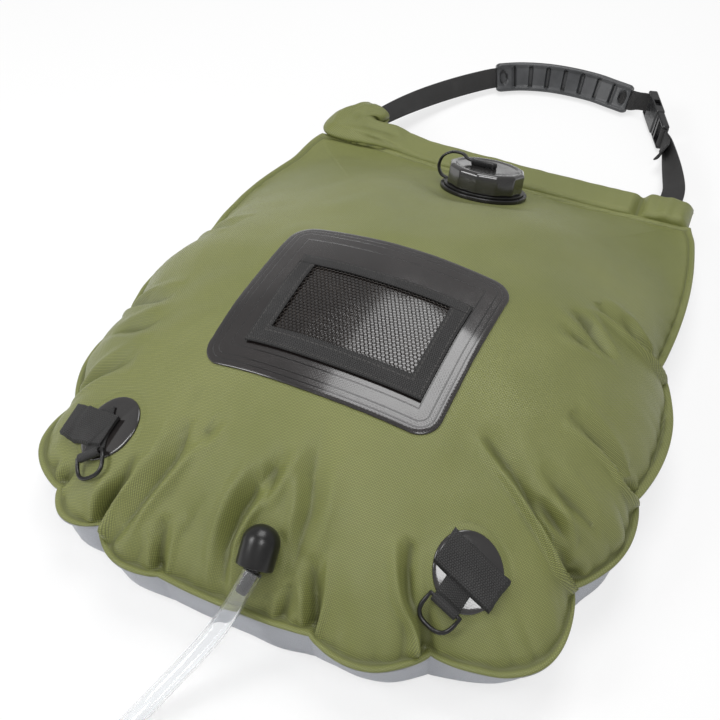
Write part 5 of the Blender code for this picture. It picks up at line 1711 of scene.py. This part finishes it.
def to_plan(u, v, place):
    x, y, angle = place
    c, s = polar(1.0, math.radians(angle))
    return x + c * u - s * v, y + s * u + c * v


def laid_plate(outline, place, high, edge, ring_step):
    """A plate with a rounded rim over any outline that is full round its middle."""
    outline = np.array(outline)
    largest = np.linalg.norm(outline, axis=1).max()
    rims = [(0.0, plate_sink), (0.0, high - edge), (edge * 0.3, high - edge * 0.3), (edge, high)]
    steps = [(edge + ring_step * k, high) for k in range(1, int((largest - edge) / ring_step))]
    rows = []
    flat = []
    for inset, lift in rims + steps:
        ring = outline * (1 - inset / largest)
        flat.append(ring)
        rows.append([tuple(on_bag(*to_plan(u, v, place), lift)) for u, v in ring])
    return close_ends(grid_bmesh(np.array(rows), joined=True, uv=np.array(flat)))


def laid_strip(u_lines, v_lines, place, low, high, edge, keep=None):
    """A strip on a grid of lines; cells that keep() turns down are left out."""
    rows = [[tuple(on_bag(*to_plan(u, v, place), high)) for u in u_lines] for v in v_lines]
    bm = grid_bmesh(np.array(rows), uv=np.array([[(u, v) for u in u_lines] for v in v_lines]))
    if keep:
        layer = bm.loops.layers.uv.verify()
        dropped = []
        for face in bm.faces:
            middle = sum((loop[layer].uv for loop in face.loops), Vector((0.0, 0.0))) / len(face.loops)
            if not keep(middle.x, middle.y):
                dropped.append(face)
        bmesh.ops.delete(bm, geom=dropped, context="FACES")
    face_up(bm)
    rim = [side for side in bm.edges if side.is_boundary]
    for vert in {vert for side in rim for vert in side.verts}:
        vert.co.z -= edge * 0.5
    skirt = bmesh.ops.extrude_edge_only(bm, edges=rim)
    for item in skirt["geom"]:
        if isinstance(item, bmesh.types.BMVert):
            item.co.z -= (high - low) - edge * 0.5
    return face_up(outwards(bm))


def lines_between(start, end, step, edge=0.0008):
    inner = np.linspace(start + edge, end - edge, max(2, round((end - start - 2 * edge) / step) + 1))
    return [start, *inner.tolist(), end]


print("laid piece helpers ready")

# %% [markdown]
# A glossy vinyl patch backs the pocket. On it sits a net pouch bound in webbing on three sides,
# with a hem along its open top, big enough for a phone or a bar of soap.

# %% Pocket patch
pocket_place = (-0.007, -0.0785, -4.0)
patch_high = fit_gap + 0.001
net_low = patch_high + fit_gap
net_high = net_low + 0.0008
binding_low = net_high + fit_gap
binding_high = binding_low + 0.0014
layer_edge = 0.0008
patch_outline = rounded_loop(*patch_size, patch_corner, per_corner=14, per_side=34)
patch_bm = laid_plate(patch_outline, patch_place, patch_high, layer_edge, 0.003)
pocket_patch = make_piece("vinyl_patch", patch_bm, patch_vinyl, "bag", "dark_vinyl", "pocket_patch")
tell(pocket_patch)


# %% Pocket binding and hem
side_binding = 0.0125
foot_binding = 0.014
hem_width = 0.0085
tape_step = 0.003


def make_bindings():
    half_x, half_y = pocket_size[0] / 2, pocket_size[1] / 2
    inner_x = half_x - side_binding
    inner_y = half_y - foot_binding
    top = half_y - hem_width - fit_gap
    u_lines = lines_between(-half_x, -inner_x, tape_step)
    for start, end in ((-inner_x, inner_x), (inner_x, half_x)):
        u_lines += lines_between(start, end, tape_step)[1:]
    v_lines = lines_between(-half_y, -inner_y, tape_step) + lines_between(-inner_y, top, tape_step)[1:]
    bm = laid_strip(u_lines, v_lines, pocket_place, binding_low, binding_high, layer_edge,
                    keep=lambda u, v: abs(u) > inner_x or v < -inner_y)
    binding = strap_piece("binding_tape", bm, "bag", "pocket_binding", binding_webbing, 55.0)
    v_lines = lines_between(half_y - hem_width, half_y, 0.002)
    bm = laid_strip(lines_between(-half_x, half_x, tape_step), v_lines, pocket_place, binding_low,
                    binding_high, layer_edge)
    return binding, strap_piece("hem_tape", bm, "bag", "pocket_hem", binding_webbing, 55.0)


binding_tape, hem_tape = make_bindings()
tell(binding_tape, hem_tape)


# %% Pocket net
net_cell = 0.0017
net_inset_x = 0.008
net_inset_y = 0.006
net_thread_width = 0.0006


def make_net():
    """Hexagonal netting as fine threads: a hexagon grid dropped on the patch, then wired."""
    half_x = pocket_size[0] / 2 - net_inset_x
    half_y = pocket_size[1] / 2 - net_inset_y
    width = net_cell * math.sqrt(3)
    height = 1.5 * net_cell
    bm = bmesh.new()
    seen = {}

    def corner(u, v):
        key = (round(u * 100000), round(v * 100000))
        if key not in seen:
            seen[key] = bm.verts.new(on_bag(*to_plan(u, v, pocket_place), (net_low + net_high) / 2))
        return seen[key]

    turns = [math.pi / 3 * k for k in range(6)]
    for r in range(int(2 * half_y / height)):
        for c in range(int(2 * half_x / width)):
            u = -half_x + width * (c + 0.5 * (r % 2) + 0.5)
            v = -half_y + height * (r + 0.5)
            bm.faces.new([corner(u + net_cell * math.sin(turn), v + net_cell * math.cos(turn))
                          for turn in turns])
    made = make_piece("pocket_net", outwards(bm), net_thread, "bag", "netting", "pocket_mesh", smooth=False)
    wire = made.modifiers.new("threads", "WIREFRAME")
    wire.thickness = net_thread_width
    wire.use_even_offset = False
    return made


net_thread = moulded("net_thread", (58, 52, 47), (38, 34, 31), 0.45, 0.00003)
pocket_net = make_net()
tell(pocket_net)

# %% [markdown]
# At each lower corner a vinyl disc is welded on. A webbing tab goes down from it round the bar
# of a D-ring, and a second piece of webbing is sewn across the tab to hold it.

# %% D-ring fittings
ring_sides = {
    "left": {"x": -0.149, "y": -0.186, "turn": 16.0, "band_turn": -12.0, "disc_shift": 0.007,
             "band_shift": -0.008, "droop": 12.0},
    "right": {"x": 0.1135, "y": -0.204, "turn": -18.0, "band_turn": -17.0, "disc_shift": 0.0,
              "band_shift": 0.001, "droop": 7.0},
}
# Where the model has each D-ring's bar: its place, the way down the tab and the way off the panel
ring_bars = {
    "left": ((-0.145856, -0.20746, 0.067216), (0.371081, -0.915371, -0.15619),
             (-0.47287, -0.331031, 0.816586)),
    "right": ((0.107482, -0.226839, 0.064615), (-0.422473, -0.718259, -0.552829),
              (0.059742, -0.630675, 0.773744)),
}
disc_radius = 0.0213
disc_high = fit_gap + 0.0012
disc_step = 0.0022
fitting_edge = 0.0009
tab_width = 0.0185
tab_thickness = 0.0014
tab_top = 0.012
tab_feel = 0.006
ring_distance = 0.0205
band_half_length = 0.02
band_half_width = 0.01
band_step = 0.0016
band_shift_y = 0.0015
band_sink = 0.002
loop_bore_radius = 0.0018
ring_wire_radius = 0.0014
ring_half_width = 0.0114
ring_straight = 0.004
ring_reach = 0.012
squareness = 0.72
tab_middle = disc_high + fit_gap + tab_thickness / 2
band_low = disc_high + 2 * fit_gap + tab_thickness
band_high = band_low + 0.0018


def tab_route(bar_frame, turn):
    """Down the cloth and round the D-ring's bar."""
    down, axis, off = (bar_frame.col[k].to_3d() for k in range(3))
    radius = loop_bore_radius + tab_thickness / 2
    route = []
    for v in np.linspace(tab_top, -ring_distance + 0.004, 16):
        flat = on_bag(*to_plan(tab_feel, v, turn), 0.0) - on_bag(*to_plan(-tab_feel, v, turn), 0.0)
        flat = (-flat if flat.dot(axis) < 0 else flat).normalized()
        near_bar = float(smoothstep((v + ring_distance - 0.003) / 0.012))
        route.append((on_bag(*to_plan(0.0, v, turn), tab_middle), axis.lerp(flat, near_bar).normalized()))
    for angle in np.linspace(-0.5 * math.pi, 1.1 * math.pi, 25):
        a, b = polar(radius, angle)
        route.append((bar_frame.translation + down * a + off * b, axis))
    return finer(route, 0.0006)


def ring_outline():
    """A D with soft corners: its straight bar first, then its round side."""
    outline = [(0.0, v) for v in np.linspace(-ring_half_width, ring_half_width, 9)]
    for angle in np.linspace(math.pi / 2, -math.pi / 2, 49)[1:-1]:
        across = math.copysign(abs(math.sin(angle)) ** squareness, angle)
        outline.append((ring_straight + ring_reach * math.cos(angle) ** squareness, ring_half_width * across))
    return outline


def make_ring_fitting(side):
    place = ring_sides[side]
    x, y = place["x"], place["y"]
    disc_place = (x + place["disc_shift"], y, 0.0)
    circle = [polar(disc_radius, 2 * math.pi * k / 72) for k in range(72)]
    disc = laid_plate(circle, disc_place, disc_high, fitting_edge, disc_step)
    make_piece("weld_disc_" + side, disc, disc_vinyl, "bag", "dark_vinyl", "ring_disc_" + side)
    bar_frame = frame_from(*ring_bars[side])
    tab = strap_bmesh(tab_route(bar_frame, (x, y, place["turn"])), tab_width, tab_thickness)
    strap_piece("ring_strap_" + side, tab, "bag", "ring_tab_" + side)
    band = laid_strip(lines_between(-band_half_length, band_half_length, band_step),
                      lines_between(-band_half_width, band_half_width, band_step),
                      (x + place["band_shift"], y + band_shift_y, place["band_turn"]),
                      band_low - band_sink, band_high, fitting_edge)
    strap_piece("cross_band_" + side, band, "bag", "ring_band_" + side, black_webbing, 55.0)
    droop = math.radians(place["droop"])
    wire = [Vector((u * math.cos(droop), v, -u * math.sin(droop))) for u, v in ring_outline()]
    wire = [tuple(bar_frame @ point) for point in wire]
    ring = tube_bmesh(wire, ring_wire_radius, 16, capped=False, cyclic=True)
    return make_piece("wire_ring_" + side, ring, black_plastic, "ring_" + side, "black_plastic",
                      "d_ring_" + side)


wire_rings = [make_ring_fitting(side) for side in ring_sides]
tell(*wire_rings)

# %% [markdown]
# ## Outlet and shower head
# The outlet is a soft rubber elbow with a domed back. A ridged barb stands in its mouth and the
# hose is pushed over it, so the barb shows through the clear wall. Past the coil the hose ends
# in a nut, a valve stem and a rose that slides on the stem to shut off the water.

# %% Outlet
hose_start = Vector(hose_route[0])
hose_heading = (Vector(hose_route[2]) - hose_start).normalized()
hood_radius = 0.0119
hood_length = 0.017
hood_turn = math.radians(16.0)
hood_heading = Vector((0.025272, -0.76007, -0.64935))
mouth_radius = 0.0044
mouth_depth = 0.01
barb_tip = 0.015
barb_ridges = 4
barb_root = -0.009
barb_core = 0.0034
barb_ridge_radius = 0.0044
barb_foot_radius = 0.0041
barb_bore = 0.0022


def axis_frame(origin, heading):
    return frame_from(origin, Vector(heading).orthogonal(), heading)


def make_hood():
    face = -fit_gap - hose_radius * math.tan(hood_turn)
    profile = [(mouth_radius, face - mouth_depth), (mouth_radius, face), (0.0105, face),
               (0.0116, face - 0.0006), (hood_radius, face - 0.0018), (hood_radius, -hood_length)]
    for angle in np.linspace(0.0, math.pi / 2, 19)[1:-1]:
        radius, height = polar(hood_radius, angle)
        profile.append((radius, -hood_length - height))
    profile.append((0.0, -hood_length - hood_radius))
    bm = moved(close_ends(spun_bmesh(profile, 64, closed=False)), axis_frame(hose_start, hood_heading))
    return make_piece("rubber_elbow", bm, soft_rubber, "bag", "soft_rubber", "outlet_elbow",
                      sharp_angle=40.0)


def make_barb():
    ridge = barb_tip / barb_ridges
    profile = [(barb_core, barb_tip)]
    for k in range(1, barb_ridges):
        profile.extend(((barb_ridge_radius, barb_tip - k * ridge), (barb_core, barb_tip - k * ridge)))
    profile[-1:] = [(barb_foot_radius, barb_root), (barb_bore, barb_root), (barb_bore, barb_tip)]
    bm = turned_bmesh(profile, 48, axis_frame(hose_start, hose_heading))
    return make_piece("hose_barb", bm, black_plastic, "bag", "black_plastic", "outlet_barb",
                      sharp_angle=30.0)


rubber_elbow = make_hood()
hose_barb = make_barb()
tell(rubber_elbow, hose_barb)

# %% Shower head
head_start = Vector(coil_line[-1]) + Vector((fit_gap, 0.0, 0.0))
head_frame = frame_from(head_start, (0.0, 0.0, -1.0), (1.0, 0.0, 0.0))
head_bore = 0.003
head_edge = 0.0007
nut_radius = 0.0085
nut_length = 0.012
stem_radius = 0.006
valve_radius = 0.01
valve_root_radius = 0.0078
valve_length = 0.0215
stem_length = 0.018
rose_radius = 0.0225
rose_neck_radius = 0.009
rose_bore = 0.0063
rose_neck_length = 0.012
rose_cone_length = 0.02
rose_rim_height = 0.006
rose_inner_radius = 0.0185
face_seat_radius = 0.0205
face_depth = 0.0006 + 0.002 + fit_gap


def stem_profile():
    start = nut_length + fit_gap
    shoulder = start + valve_length
    end = shoulder + stem_length
    return round_profile(((stem_radius, end), (stem_radius, shoulder), (valve_radius, shoulder),
                          (valve_radius, start + valve_length / 4), (valve_root_radius, start),
                          (head_bore, start), (head_bore, end)), head_edge)


def rose_profile():
    low = nut_length + valve_length + 2 * fit_gap
    cone = low + rose_neck_length
    rim = cone + rose_cone_length
    high = rim + rose_rim_height
    ledge = high - face_depth
    return round_profile(((rose_radius, high), (rose_radius, rim), (rose_neck_radius, cone),
                          (rose_neck_radius, low), (rose_bore, low), (rose_bore, cone + 0.002),
                          (rose_inner_radius, rim), (rose_inner_radius, ledge), (face_seat_radius, ledge),
                          (face_seat_radius, high)), head_edge)


nut_profile = ring_profile(nut_radius, head_bore, 0.0, nut_length, 0.0008)
head_pieces = []
for name, profile, sides, body, node_name in (
        ("hose_nut_skin", nut_profile, 64, "bag", "hose_nut"),
        ("stem_skin", stem_profile(), 64, "bag", "valve_stem"),
        ("rose_skin", rose_profile(), 72, "rose", "rose_body")):
    head_pieces.append(make_piece(name, turned_bmesh(profile, sides, head_frame), black_plastic, body,
                                  "black_plastic", node_name, sharp_angle=35.0))
tell(*head_pieces)

# %% [markdown]
# Five solids of the model already have the right shape, and only get their own finish.

# %% Pieces kept as modelled
for node_name in ("rose_face", "buckle_socket", "buckle_tongue", "prong_upper", "prong_lower"):
    finish_used = black_plastic if node_name == "rose_face" else buckle_plastic
    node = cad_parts[node_name]
    node.data.materials.clear()
    node.data.materials.append(finish_used)
    print(node_name, "in", finish_used.name)

# %% [markdown]
# ## Studio
# The photograph is a product shot on white. The floor is pale and the world behind is plain
# white to the camera, while soft boxes above light the bag and give the vinyl its reflections.

# %% Floor and world
floor_size = 6.0
floor_drop = 0.0002
floor_glow_share = 0.68
world_light = 0.3
world_seen_share = 0.7
world_mirror_share = 0.15


def seen_share(tree):
    """1 where the camera looks, straight or through the clear hose."""
    path = tree.nodes.new("ShaderNodeLightPath")
    both = path.outputs["Is Camera Ray"], path.outputs["Is Transmission Ray"]
    return path, math_node(tree, "ADD", *both, clamp=True)


def make_floor():
    bm = bmesh.new()
    bmesh.ops.create_grid(bm, x_segments=1, y_segments=1, size=floor_size)
    mesh = bpy.data.meshes.new("floor")
    bm.to_mesh(mesh)
    bm.free()
    floor = add_object("floor", mesh)
    floor.location = (0.0, 0.0, -floor_drop)
    paint, tree, shader, vector = start_material("floor_paint", 0.6)
    wander = add_group(tree, variation_group, vector, Scale=3.0)
    pale = mix_colour(tree, wander["Wander"], (250, 250, 250), (253, 253, 253))
    feed(tree, pale, shader.inputs["Base Color"])
    glow = tree.nodes.new("ShaderNodeEmission")
    _, seen = seen_share(tree)
    mixed = tree.nodes.new("ShaderNodeMixShader")
    feed(tree, times(tree, seen, floor_glow_share), mixed.inputs[0])
    feed(tree, shader.outputs[0], mixed.inputs[1])
    feed(tree, glow.outputs[0], mixed.inputs[2])
    feed(tree, mixed.outputs[0], tree.nodes["Material Output"].inputs["Surface"])
    mesh.materials.append(paint)
    return floor


def make_world():
    made = bpy.data.worlds.new("studio")
    bpy.context.scene.world = made
    made.use_nodes = True
    tree = made.node_tree
    background = tree.nodes["Background"]
    background.inputs["Color"].default_value = (1.0, 1.0, 1.0, 1.0)
    path, seen = seen_share(tree)
    mirrored = times(tree, path.outputs["Is Glossy Ray"], world_mirror_share)
    strength = plus(tree, times(tree, seen, world_seen_share), plus(tree, mirrored, world_light))
    feed(tree, strength, background.inputs["Strength"])
    return made


floor = make_floor()
world = make_world()
print("floor and world", floor.name, world.name)

# %% Soft boxes
# Name, place, what it is aimed at, its width and length, and its power in watts
light_boxes = (
    ("back_box", (-0.06, 0.5, 1.4), (0.0, 0.45, 0.0), (0.75, 1.05), 10.5),
    ("left_box", (-1.0, -0.75, 1.0), (0.0, -0.1, 0.05), (0.65, 0.65), 10.0),
    ("front_box", (0.52, -0.82, 1.4), (0.1, -0.2, 0.05), (0.5, 0.6), 7.0),
)
for name, place, aim, (width, length), energy in light_boxes:
    data = bpy.data.lights.new(name, "AREA")
    data.shape = "RECTANGLE"
    data.size = width
    data.size_y = length
    data.energy = energy
    light = add_object(name, data)
    light.matrix_world = frame_from(place, (1.0, 0.0, 0.0), Vector(place) - Vector(aim))
bpy.context.scene.view_settings.view_transform = "Standard"
print("lights", [name for name, *_ in light_boxes])
